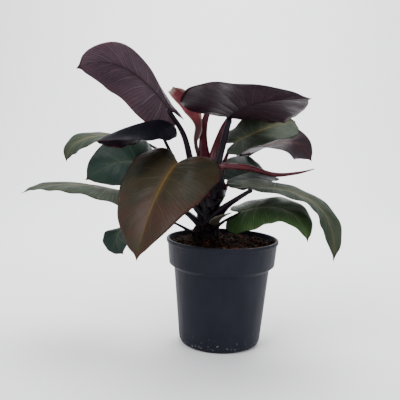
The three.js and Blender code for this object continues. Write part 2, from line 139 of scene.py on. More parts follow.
def joined(shapes: Sequence[bmesh.types.BMesh]) -> bmesh.types.BMesh:
    """Return one bmesh that holds the faces and UV maps of several, which are freed."""
    whole = bmesh.new()
    for shape in shapes:
        carrier = bpy.data.meshes.new("carrier")
        shape.to_mesh(carrier)
        shape.free()
        whole.from_mesh(carrier)
        bpy.data.meshes.remove(carrier)
    return whole


def finish_piece(
    name: str,
    shape: bmesh.types.BMesh,
    finishes: Sequence[bpy.types.Material],
    slot: str,
    node: str | None = None,
) -> bpy.types.Object:
    """Turn a bmesh in millimetres into a dressed piece that rides on the plant.

    Args:
        name: The piece's plain name.
        shape: The piece's faces, freed here.
        finishes: The materials, in the order of the faces' material indices.
        slot: The record's material slot; not used.
        node: The frame's node that the piece stands for, if it stands for one.

    Returns:
        The finished object.
    """
    bmesh.ops.scale(shape, vec=(MM, MM, MM), verts=shape.verts)
    for face in shape.faces:
        face.smooth = True
    mesh = bpy.data.meshes.new(name)
    shape.to_mesh(mesh)
    shape.free()
    for finish in finishes:
        mesh.materials.append(finish)
    piece = bpy.data.objects.new(name, mesh)
    bpy.context.scene.collection.objects.link(piece)
    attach(piece, "root")
    if node is not None:
        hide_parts(node)
    LOG.info("%s: %d faces", name, len(mesh.polygons))
    return piece


def tube(
    path: Path,
    rings: int,
    sides: int,
    reference: Vector,
    section: Callable[[float, float], tuple[float, float]],
) -> bmesh.types.BMesh:
    """Wrap a grid round a path and close its seam and ends.

    Args:
        path: The middle of the stalk.
        rings: The number of faces along it.
        sides: The number of faces round it.
        reference: The way that the stalk's inner side faces.
        section: Gives the reach towards the inner side and to its side, in millimetres, from
            the share along the stalk and the angle round it.

    Returns:
        The closed stalk.
    """
    def place(turn: float, share: float) -> Vector:
        direction = path.direction(share)
        inner = (reference - direction * reference.dot(direction)).normalized()
        side = direction.cross(inner)
        depth, width = section(share, turn * TURN)
        return path.point(share) + inner * depth + side * width

    shape = grid(sides, rings, place)
    bmesh.ops.remove_doubles(shape, verts=shape.verts, dist=0.001)
    open_edges = [edge for edge in shape.edges if edge.is_boundary]
    bmesh.ops.holes_fill(shape, edges=open_edges, sides=0)
    bmesh.ops.recalc_face_normals(shape, faces=shape.faces)
    return shape


class Sketch:
    """A material's node tree, drawn in short calls."""

    def __init__(self, name: str) -> None:
        """Start a material with its shader."""
        self.material = bpy.data.materials.new(name)
        self.material.use_nodes = True
        self.tree = self.material.node_tree
        self.shader = self.tree.nodes["Principled BSDF"]

    def node(self, kind: str, inputs: dict[str | int, object], **settings: object) -> bpy.types.Node:
        """Add a node.

        Args:
            kind: The node's type.
            inputs: A socket or a value for each input's name or number.
            settings: The node's own settings.

        Returns:
            The new node.
        """
        node = self.tree.nodes.new(kind)
        for name, value in settings.items():
            setattr(node, name, value)
        for key, value in inputs.items():
            if isinstance(value, Socket):
                self.tree.links.new(value, node.inputs[key])
            else:
                node.inputs[key].default_value = value
        return node

    def math(self, operation: str, first: object, second: object = 0.0) -> Socket:
        """Return the result of one sum."""
        return self.node("ShaderNodeMath", {0: first, 1: second}, operation=operation).outputs[0]

    def ramp(self, value: Socket, start: float, end: float, low: float, high: float) -> Socket:
        """Return a value that eases from low to high while another runs from start to end."""
        inputs = {0: value, 1: start, 2: end, 3: low, 4: high}
        node = self.node("ShaderNodeMapRange", inputs, interpolation_type="SMOOTHSTEP")
        return node.outputs[0]

    def mix(self, share: object, first: object, second: object) -> Socket:
        """Return a colour that lies a share of the way from the first to the second."""
        inputs = {0: share, 6: first, 7: second}
        return self.node("ShaderNodeMix", inputs, data_type="RGBA").outputs[2]

    def place(self, stretch: Point = (1, 1, 1)) -> Socket:
        """Return the place on the piece in metres, stretched along the axes."""
        coordinates = self.node("ShaderNodeTexCoord", {}).outputs["Object"]
        return self.node("ShaderNodeMapping", {0: coordinates, 3: stretch}).outputs[0]

    def chart(self, name: str) -> tuple[Socket, Socket]:
        """Return the two coordinates of one of the piece's UV maps."""
        uv = self.node("ShaderNodeUVMap", {}, uv_map=name).outputs[0]
        parts = self.node("ShaderNodeSeparateXYZ", {0: uv})
        return parts.outputs[0], parts.outputs[1]

    def noise(self, where: Socket, scale: float, detail: float = 3.0, rough: float = 0.5) -> Socket:
        """Return soft noise from 0 to 1."""
        inputs = {"Vector": where, "Scale": scale, "Detail": detail, "Roughness": rough}
        return self.node("ShaderNodeTexNoise", inputs).outputs[0]

    def cells(self, where: Socket, scale: float) -> Socket:
        """Return how far a place is from the edges of small cells."""
        inputs = {"Vector": where, "Scale": scale}
        node = self.node("ShaderNodeTexVoronoi", inputs, feature="DISTANCE_TO_EDGE")
        return node.outputs[0]

    def bump(self, height: Socket, depth: float, strength: float = 1.0) -> Socket:
        """Return a normal that follows a height, whose depth is in millimetres."""
        inputs = {"Strength": strength, "Distance": depth * MM, "Height": height}
        return self.node("ShaderNodeBump", inputs).outputs[0]

    def dress(self, colour: object, roughness: object, normal: Socket | None = None) -> None:
        """Feed the shader's colour, roughness and normal."""
        for name, value in (("Base Color", colour), ("Roughness", roughness), ("Normal", normal)):
            if isinstance(value, Socket):
                self.tree.links.new(value, self.shader.inputs[name])
            elif value is not None:
                self.shader.inputs[name].default_value = value

    def constant(self, **values: float) -> None:
        """Set numbers on the shader's own sockets, with spaces written as underscores."""
        for name, value in values.items():
            self.shader.inputs[name.replace("_", " ")].default_value = value


# The studio's light is strong, so what is dressed is darker than it looks in the picture.
DEPTH = 0.55


def paint(colour: Colour, gain: float = DEPTH) -> tuple[float, float, float, float]:
    """Return a linear colour from one given in 0 to 255 steps.

    Args:
        colour: Red, green and blue.
        gain: How much lighter or darker it is made.

    Returns:
        Red, green, blue and an opaque alpha.
    """
    def linear(step: float) -> float:
        share = step / 255
        return share / 12.92 if share <= 0.04045 else ((share + 0.055) / 1.055) ** 2.4

    return tuple(linear(step) * gain for step in colour) + (1.0,)


@dataclass(frozen=True)
class LeafFinish:
    """Glossy leaf tissue with pinnate veins, for one side of a blade."""

    name: str
    tissue: Colour
    shade: Colour
    vein: Colour
    rib: Colour
    margin: Colour = (58, 26, 32)
    vein_strength: float = 0.55
    sheen: float = 0.05
    roughness: float = 0.42
    shine: float = 0.1
    blush: Colour | None = None
    raised: bool = False
    main_veins: int = 11

    def material(self) -> bpy.types.Material:
        """Draw the tissue, its veins, its rib, its margin and its wear, with painted sheen as pale streaks
        along the side veins.
        """
        sketch = Sketch(self.name)
        where = sketch.place()
        across, sweep = sketch.chart("blade")
        from_rib, from_margin = sketch.chart("measure")
        wander = sketch.math("MULTIPLY", sketch.noise(where, 45, 2), 0.018)
        swept = sketch.math("ADD", sweep, wander)
        main = self.lines(sketch, swept, self.main_veins, 0.07)
        fine = self.lines(sketch, swept, self.main_veins * 5, 0.24)
        net = sketch.ramp(sketch.cells(where, 330), 0.0, 0.09, 1.0, 0.0)
        reach = sketch.math("ABSOLUTE", sketch.math("SUBTRACT", across, 0.5))
        inner = sketch.ramp(reach, 0.1, 0.49, 1.0, 0.25)
        veins = sketch.math("MULTIPLY", main, inner)
        faint = sketch.math("MULTIPLY", fine, 0.38)
        drawn = sketch.math("MAXIMUM", veins, faint)
        drawn = sketch.math("MAXIMUM", drawn, sketch.math("MULTIPLY", net, 0.12))
        flow = self.flow(sketch, swept, reach)
        cloud = sketch.ramp(sketch.noise(where, 26, 4, 0.6), 0.38, 0.62, 0.0, 0.6)
        cloud = sketch.math("ADD", cloud, sketch.ramp(flow, 0.4, 0.66, 0.0, 0.5))
        speckle = sketch.ramp(sketch.noise(where, 260, 3, 0.7), 0.55, 0.78, 0.0, 0.35)
        colour = sketch.mix(cloud, paint(self.tissue), paint(self.shade))
        colour = sketch.mix(speckle, colour, paint(self.shade))
        if self.blush:
            patch = sketch.ramp(sketch.noise(where, 17, 4, 0.6), 0.45, 0.62, 0.0, 0.6)
            colour = sketch.mix(patch, colour, paint(self.blush))
        colour = sketch.mix(sketch.math("MULTIPLY", drawn, self.vein_strength), colour, paint(self.vein))
        # Painted sheen: pale streaks in the vein colour along the side veins, on the ripples' crests.
        painted_sheen_streaks = sketch.ramp(flow, 0.56, 0.74, 0.0, 0.3)
        colour = sketch.mix(painted_sheen_streaks, colour, paint(self.vein))
        fading = sketch.ramp(sweep, 0.55, 1.0, 1.0, 0.15)
        halo = sketch.math("MULTIPLY", sketch.ramp(from_rib, 0.0, 0.1, 0.42, 0.0), fading)
        colour = sketch.mix(halo, colour, paint(self.rib))
        rib = sketch.ramp(from_rib, 0.009, 0.019, 1.0, 0.0)
        colour = sketch.mix(sketch.math("MULTIPLY", rib, fading), colour, paint(self.rib))
        edge = sketch.ramp(from_margin, 0.002, 0.009, 0.7, 0.0)
        colour = sketch.mix(edge, colour, paint(self.margin))
        sign = 1.0 if self.raised else -1.0
        quilt = sketch.math("MULTIPLY", drawn, 0.55 * sign)
        grain = sketch.math("MULTIPLY", sketch.noise(where, 900, 2), 0.12)
        dents = sketch.math("MULTIPLY", sketch.noise(where, 90, 3, 0.55), 0.9)
        ripples = sketch.math("MULTIPLY", flow, 0.8)
        height = sketch.math("ADD", sketch.math("ADD", quilt, grain), sketch.math("ADD", dents, ripples))
        gloss = sketch.ramp(sketch.noise(where, 60, 4, 0.6), 0.3, 0.7, -0.07, 0.1)
        gloss = sketch.math("ADD", gloss, self.roughness)
        sketch.dress(colour, gloss, sketch.bump(height, 0.45, 0.8))
        sketch.constant(
            Coat_Weight=self.sheen, Coat_Roughness=0.25, Specular_IOR_Level=self.shine,
            Subsurface_Weight=0.04, Subsurface_Scale=0.002,
        )
        return sketch.material

    @staticmethod
    def flow(sketch: Sketch, sweep: Socket, reach: Socket) -> Socket:
        """Return noise drawn out along the side veins."""
        packed = sketch.math("MULTIPLY", sweep, 60.0)
        drawn = sketch.math("MULTIPLY", reach, 5.0)
        where = sketch.node("ShaderNodeCombineXYZ", {0: packed, 1: drawn}).outputs[0]
        return sketch.noise(where, 1.0, 4, 0.6)

    @staticmethod
    def lines(sketch: Sketch, sweep: Socket, count: int, width: float) -> Socket:
        """Return thin lines that run from the rib to the margin at even steps of the sweep."""
        phase = sketch.math("MULTIPLY", sweep, float(count))
        away = sketch.math("PINGPONG", phase, 0.5)
        return sketch.ramp(away, 0.0, width, 1.0, 0.0)


class Tissue(Enum):
    """The colours of leaf that the plant carries, as the upper side and the under side, and one copy of the
    burgundy with painted light.
    """

    BURGUNDY = (
        LeafFinish("burgundy_upper", (58, 44, 50), (44, 34, 42), (90, 68, 70), (92, 46, 52)),
        LeafFinish(
            "burgundy_under", (62, 40, 52), (46, 30, 40), (98, 80, 90), (36, 19, 30), raised=True,
        ),
    )
    # The burgundy tissue made paler all over, with paler veins: painted light and painted sheen on the upper
    # left leaf.
    MAUVE = (
        LeafFinish("burgundy_painted_lit_upper", (62, 48, 56), (48, 38, 46), (94, 74, 78), (92, 46, 52)),
        LeafFinish(
            "burgundy_painted_lit_under", (102, 76, 90), (76, 56, 68), (150, 130, 138), (48, 28, 40), raised=True,
        ),
    )
    NEAR_BLACK = (
        LeafFinish("near_black_upper", (28, 27, 39), (19, 18, 29), (50, 49, 62), (44, 36, 46)),
        LeafFinish("near_black_under", (44, 30, 42), (34, 24, 36), (74, 60, 70), (30, 18, 30), raised=True),
    )
    BRONZE = (
        LeafFinish(
            "bronze_upper", (68, 60, 44), (46, 48, 38), (98, 82, 62), (124, 96, 52),
            margin=(84, 40, 38), blush=(80, 46, 38),
        ),
        LeafFinish("bronze_under", (84, 48, 52), (70, 42, 48), (118, 88, 84), (70, 30, 38), raised=True),
    )
    GREEN = (
        LeafFinish(
            "green_upper", (82, 116, 68), (54, 86, 47), (134, 154, 106), (126, 146, 92), margin=(60, 40, 34),
        ),
        LeafFinish("green_under", (58, 40, 50), (46, 34, 44), (96, 86, 84), (64, 30, 40), raised=True),
    )
    DEEP_GREEN = (
        LeafFinish("deep_green_upper", (39, 60, 51), (25, 43, 38), (82, 100, 88), (78, 90, 74)),
        LeafFinish("deep_green_under", (62, 40, 52), (48, 36, 46), (100, 88, 90), (58, 28, 40), raised=True),
    )
    SAGE = (
        # The upper side's pale grey green is the leaf's green with painted sheen in it; its own gloss is
        # turned low.
        LeafFinish(
            "sage_upper_painted_sheen", (72, 82, 67), (50, 62, 50), (122, 126, 106), (128, 120, 84),
            margin=(64, 48, 46), sheen=0, roughness=0.55, shine=0.05,
        ),
        LeafFinish("sage_under", (70, 52, 66), (52, 40, 52), (118, 106, 112), (80, 48, 60), raised=True),
    )

    @property
    def slot(self) -> str:
        """Return the frame's material slot, which counts the burgundy copy with painted light as burgundy."""
        kind = Tissue.BURGUNDY if self is Tissue.MAUVE else self
        return f"leaf_{kind.name.lower()}"


@dataclass(frozen=True)
class StalkFinish:
    """Smooth waxy stalk tissue with fine streaks along it."""

    name: str
    tissue: Colour
    shade: Colour
    bloom: Colour
    roughness: float = 0.38

    def material(self) -> bpy.types.Material:
        """Draw the tissue, its streaks, its paler specks, painted shade towards its foot and its gloss."""
        sketch = Sketch(self.name)
        where = sketch.place()
        turn, share = sketch.chart("sheet")
        ridge = sketch.math("SINE", sketch.math("MULTIPLY", turn, TURN * 14))
        fibre = sketch.math("ADD", sketch.math("MULTIPLY", ridge, 0.25), sketch.noise(where, 120, 4, 0.6))
        streak = sketch.ramp(fibre, 0.3, 0.8, 0.0, 1.0)
        colour = sketch.mix(streak, paint(self.tissue), paint(self.shade))
        # Painted shade: the stalk darkens towards its foot, deep among the crowded stalks at the crown.
        foot = sketch.ramp(share, 0.0, 0.3, 0.7, 0.0)
        colour = sketch.mix(foot, colour, paint(self.shade, 0.7 * DEPTH))
        speck = sketch.ramp(sketch.noise(where, 520, 2), 0.66, 0.74, 0.0, 0.5)
        colour = sketch.mix(speck, colour, paint(self.bloom))
        gloss = sketch.ramp(sketch.noise(where, 80, 3), 0.3, 0.7, self.roughness - 0.07, self.roughness + 0.1)
        sketch.dress(colour, gloss, sketch.bump(fibre, 0.3, 0.6))
        sketch.constant(
            Coat_Weight=0.04, Specular_IOR_Level=0.12, Subsurface_Weight=0.03, Subsurface_Scale=0.002,
        )
        return sketch.material


class StalkTone(Enum):
    """The colours of petiole."""

    DARK = StalkFinish("petiole_dark", (38, 22, 38), (24, 14, 26), (66, 46, 60))
    RED = StalkFinish("petiole_red", (92, 28, 42), (60, 20, 33), (124, 74, 78))


@dataclass(frozen=True)
class NewLeafFinish:
    """The rolled new leaf: cherry red, paler along its ridges, with vein streaks."""

    tissue: Colour = (104, 31, 44)
    shade: Colour = (66, 20, 33)
    ridge: Colour = (134, 70, 76)

    def material(self) -> bpy.types.Material:
        """Draw the red tissue with streaks that run slantwise round the roll."""
        sketch = Sketch("new_leaf_cherry")
        where = sketch.place()
        turn, share = sketch.chart("sheet")
        slant = sketch.math("ADD", turn, sketch.math("MULTIPLY", share, 9.0))
        veins = LeafFinish.lines(sketch, slant, 4, 0.3)
        cloud = sketch.ramp(sketch.noise(where, 70, 4, 0.6), 0.3, 0.7, 0.0, 1.0)
        colour = sketch.mix(cloud, paint(self.tissue), paint(self.shade))
        colour = sketch.mix(sketch.math("MULTIPLY", veins, 0.28), colour, paint(self.ridge))
        tip = sketch.ramp(share, 0.75, 1.0, 0.0, 0.8)
        colour = sketch.mix(tip, colour, paint(self.shade))
        height = sketch.math("ADD", sketch.math("MULTIPLY", veins, 0.4), sketch.noise(where, 300, 3))
        sketch.dress(colour, 0.34, sketch.bump(height, 0.3, 0.7))
        sketch.constant(
            Coat_Weight=0.08, Specular_IOR_Level=0.25, Subsurface_Weight=0.05, Subsurface_Scale=0.002,
        )
        return sketch.material


@dataclass(frozen=True)
class SheathFinish:
    """Thin sheath tissue that dries to tan along its margins and its end."""

    name: str
    tissue: Colour
    shade: Colour
    dry: Colour
    dry_width: float = 0.12
    foot: Colour | None = None

    def material(self) -> bpy.types.Material:
        """Draw the streaked tissue and its dry margins."""
        sketch = Sketch(self.name)
        where = sketch.place()
        across, share = sketch.chart("sheet")
        wander = sketch.math("MULTIPLY", sketch.noise(where, 90, 4, 0.6), 0.16)
        rib = sketch.math("SINE", sketch.math("MULTIPLY", sketch.math("ADD", across, wander), TURN * 11))
        streak = sketch.ramp(rib, -0.6, 1.0, 0.0, 0.6)
        cloud = sketch.noise(where, 60, 4, 0.6)
        colour = sketch.mix(sketch.ramp(cloud, 0.35, 0.65, 0.0, 1.0), paint(self.tissue), paint(self.shade))
        colour = sketch.mix(streak, colour, paint(self.shade))
        if self.foot:
            low = sketch.ramp(share, 0.42, 0.6, 0.9, 0.0)
            colour = sketch.mix(low, colour, paint(self.foot))
        reach = sketch.math("ABSOLUTE", sketch.math("SUBTRACT", across, 0.5))
        ragged = sketch.math("ADD", reach, wander)
        margin = sketch.ramp(ragged, 0.56 - self.dry_width, 0.6, 0.0, 0.85)
        end = sketch.ramp(sketch.math("ADD", share, wander), 0.98, 1.08, 0.0, 0.85)
        colour = sketch.mix(sketch.math("MAXIMUM", margin, end), colour, paint(self.dry))
        height = sketch.math("ADD", sketch.math("MULTIPLY", rib, 0.3), cloud)
        sketch.dress(colour, 0.5, sketch.bump(height, 0.5, 0.8))
        sketch.constant(
            Coat_Weight=0.04, Specular_IOR_Level=0.15, Subsurface_Weight=0.06, Subsurface_Scale=0.002,
        )
        return sketch.material


@dataclass(frozen=True)
class StemFinish:
    """Dark stem tissue with corky scars and dry fibres."""

    tissue: Colour = (36, 24, 28)
    cork: Colour = (74, 56, 46)
    root: Colour = (58, 42, 36)

    def material(self) -> bpy.types.Material:
        """Draw the dark tissue, its cork and its fibres."""
        sketch = Sketch("stem_bark")
        where = sketch.place()
        fibre = sketch.noise(sketch.place((1, 1, 0.22)), 420, 5, 0.65)
        patch = sketch.ramp(sketch.noise(where, 95, 4, 0.6), 0.52, 0.66, 0.0, 0.8)
        colour = sketch.mix(sketch.ramp(fibre, 0.35, 0.7, 0.0, 0.7), paint(self.tissue), paint(self.root))
        colour = sketch.mix(patch, colour, paint(self.cork))
        height = sketch.math("ADD", fibre, sketch.math("MULTIPLY", patch, 0.6))
        sketch.dress(colour, 0.78, sketch.bump(height, 1.1, 0.9))
        sketch.constant(Specular_IOR_Level=0.15)
        return sketch.material


@dataclass(frozen=True)
class PotFinish:
    """Dark moulded plastic, matt, with a faint upright sheen, dust and pale scuffs near the foot."""

    plastic: Colour = (38, 40, 53)
    dust: Colour = (72, 74, 86)
    scuff: Colour = (176, 178, 180)

    def material(self) -> bpy.types.Material:
        """Draw the plastic, its pull marks, its dust and its scuffs."""
        sketch = Sketch("pot_plastic")
        where = sketch.place()
        height = sketch.node("ShaderNodeSeparateXYZ", {0: where}).outputs[2]
        pulled = sketch.noise(sketch.place((1, 1, 0.05)), 160, 4, 0.6)
        fine = sketch.noise(where, 1500, 3, 0.6)
        cloud = sketch.noise(where, 24, 5, 0.65)
        colour = sketch.mix(sketch.ramp(cloud, 0.3, 0.75, 0.0, 0.16), paint(self.plastic), paint(self.dust))
        colour = sketch.mix(sketch.ramp(pulled, 0.55, 0.8, 0.0, 0.12), colour, paint(self.dust))
        low = sketch.ramp(height, 0.004, 0.03, 1.0, 0.0)
        chip = sketch.ramp(sketch.noise(where, 210, 4, 0.7), 0.61, 0.66, 0.0, 0.85)
        colour = sketch.mix(sketch.math("MULTIPLY", chip, low), colour, paint(self.scuff))
        rare = sketch.ramp(sketch.noise(where, 330, 2), 0.75, 0.79, 0.0, 0.35)
        colour = sketch.mix(rare, colour, paint(self.dust))
        gloss = sketch.ramp(pulled, 0.3, 0.75, 0.46, 0.6)
        relief = sketch.math("ADD", sketch.math("MULTIPLY", fine, 0.5), pulled)
        sketch.dress(colour, gloss, sketch.bump(relief, 0.16, 0.5))
        sketch.constant(Specular_IOR_Level=0.09)
        return sketch.material


@dataclass(frozen=True)
class SoilFinish:
    """Moist potting mix: near-black crumbs between reddish brown fibres."""

    name: str
    dark: Colour
    light: Colour
    fleck: Colour
    depth: float = 2.4

    def material(self) -> bpy.types.Material:
        """Draw crumbs, fibres and flecks at three sizes."""
        sketch = Sketch(self.name)
        where = sketch.place()
        lump = sketch.noise(where, 140, 6, 0.68)
        crumb = sketch.noise(where, 620, 4, 0.6)
        fleck = sketch.ramp(sketch.noise(sketch.place((1, 0.35, 0.6)), 760, 3), 0.6, 0.68, 0.0, 0.8)
        colour = sketch.mix(sketch.ramp(lump, 0.38, 0.66, 0.0, 1.0), paint(self.dark), paint(self.light))
        colour = sketch.mix(sketch.ramp(crumb, 0.45, 0.72, 0.0, 0.6), colour, paint(self.dark, 0.6 * DEPTH))
        colour = sketch.mix(fleck, colour, paint(self.fleck))
        height = sketch.math("ADD", lump, sketch.math("MULTIPLY", crumb, 0.4))
        sketch.dress(colour, 0.88, sketch.bump(height, self.depth, 1.0))
        sketch.constant(Specular_IOR_Level=0.15)
        return sketch.material


HALF_OUTLINE = (
    (0, 0), (0.16, -0.09), (0.42, -0.15), (0.74, -0.13), (0.95, -0.03), (1, 0.12), (0.97, 0.3),
    (0.87, 0.48), (0.71, 0.65), (0.5, 0.79), (0.27, 0.9), (0.08, 0.955), (0, 1),
)


def outline(sweep: float) -> tuple[float, float]:
    """Return a point on half of a flat blade's margin.

    Args:
        sweep: 0 in the notch at the petiole, 1 at the tip.

    Returns:
        The share of the half width across, and of the midrib's length along.
    """
    last = len(HALF_OUTLINE) - 1
    place = clamp(sweep) * last
    index = min(int(place), last - 1)
    weight = place - index
    before, start, end, after = (
        Vector(HALF_OUTLINE[min(max(step, 0), last)]) for step in range(index - 1, index + 3)
    )
    leave = (end - before) / 2
    reach = (after - start) / 2
    cubic = (2 * start - 2 * end + leave + reach) * weight ** 3
    square = (3 * end - 3 * start - 2 * leave - reach) * weight ** 2
    found = cubic + square + leave * weight + start
    return found.x, found.y


@dataclass
class Stem:
    """The short leaning stem with its leaf scars, and the roots grown from it."""

    foot: Point = (-27, 2, 96)
    soil_line: Point = (-25, 2, 165)
    crown: Point = (-13, 0, 240)
    foot_radius: float = 15
    crown_radius: float = 9.5
    steps: int = 18
    scar_count: int = 8
    scar_height: float = 0.9
    root_radius: float = 2.3
    roots: tuple[tuple[Point, ...], ...] = (
        ((-20, -2, 200), (-9, -8, 186), (-8, -11, 158), (-11, -12, 128)),
        ((-24, 2, 196), (-38, -8, 180), (-41, -13, 156), (-38, -15, 130)),
        ((-22, 4, 204), (-14, 17, 188), (-12, 22, 160), (-16, 24, 126)),
        ((-26, 4, 190), (-42, 12, 174), (-46, 15, 154), (-42, 18, 132)),
    )

    def centre(self, height: float) -> Vector:
        """Return the middle of the stem at a height, as the frame's petioles find it."""
        path = Path((self.foot, self.soil_line, self.crown))
        points = [path.point(step / self.steps) for step in range(self.steps + 1)]
        above = next((k for k, point in enumerate(points) if point.z > height), self.steps)
        low, high = points[max(above, 1) - 1], points[max(above, 1)]
        return low.lerp(high, (height - low.z) / (high.z - low.z))

    def trunk(self) -> bmesh.types.BMesh:
        """Return the stem's body, with a raised scar where each old leaf was."""
        def section(share: float, angle: float) -> tuple[float, float]:
            wave = math.cos(TURN * self.scar_count * share + 0.7 * math.sin(angle))
            scar = self.scar_height * (wave ** 2) ** 3
            rough = 0.5 * noise.noise(Vector((3 * math.cos(angle), 3 * math.sin(angle), 26 * share)))
            radius = lerp(self.foot_radius, self.crown_radius, share) + scar + rough
            return radius * math.cos(angle), radius * math.sin(angle)

        path = Path((self.foot, self.soil_line, self.crown))
        return tube(path, 110, 40, Vector((0, 1, 0)), section)

    def root(self, points: Sequence[Point]) -> bmesh.types.BMesh:
        """Return one root, which thins out and is knotted here and there."""
        def section(share: float, angle: float) -> tuple[float, float]:
            knot = 0.22 * noise.noise(Vector((math.cos(angle), math.sin(angle), 14 * share)))
            radius = self.root_radius * (lerp(1.25, 0.7, share) + knot)
            return radius * math.cos(angle), radius * math.sin(angle)

        return tube(Path(points), 48, 12, Vector((0, 1, 0)), section)

    def build(self) -> None:
        """Make the stem and dress it."""
        shape = joined([self.trunk(), *(self.root(points) for points in self.roots)])
        finish_piece("stem_with_roots", shape, [StemFinish().material()], "stem", "stem")


@dataclass
class Petiole:
    """A leaf's stalk: flat on the side that faces the stem, and sheathing at its foot."""

    foot: float
    bends: tuple[Point, ...]
    radius: float
    tone: StalkTone
    tip_share: float = 0.5
    sheath_share: float = 0.55
    sheath_spread: float = 1.6
    flat: float = 0.55
    under_blade: float = 3
    seat_depth: float = 0.5
    collar: float = 0.16

    @property
    def tip_radius(self) -> float:
        """Return the radius where the petiole meets the blade."""
        return self.radius * self.tip_share

    def shape(self, stem: Stem, point: Vector, tangent: Vector, up: Vector) -> bmesh.types.BMesh:
        """Wrap the stalk round its path.

        Args:
            stem: The stem it grows from.
            point: The blade's notch.
            tangent: The way the midrib leaves the notch.
            up: The way the blade's upper face looks there.

        Returns:
            The closed stalk.
        """
        seat = point - up * self.seat_depth * self.tip_radius + tangent * self.under_blade
        base = stem.centre(self.foot)
        outward = seat - base
        outward.z = 0
        reference = UP - outward.normalized()

        def section(share: float, angle: float) -> tuple[float, float]:
            size = lerp(self.radius, self.tip_radius, share)
            spread = 1 + self.sheath_spread * max(0.0, 1 - share / self.sheath_share) ** 1.5
            thick = size * lerp(1, spread, 0.5)
            swell = 1 + self.collar * math.exp(-((share - 0.95) / 0.025) ** 2)
            closing = math.sqrt(clamp(1 - max(0.0, (share - 0.97) / 0.03) ** 2))
            groove = 0.12 * math.exp(-(math.sin(angle) / 0.35) ** 2)
            inner = (self.flat - groove) if math.cos(angle) > 0 else 1.0
            fine = 1 + 0.012 * math.cos(14 * angle)
            scale = swell * max(closing, 0.12) * fine
            depth = thick * math.cos(angle) * inner * scale
            width = size * spread * math.sin(angle) * scale
            return depth, width

        path = Path((tuple(base), *self.bends, tuple(seat)))
        return tube(path, 72, 36, reference, section)


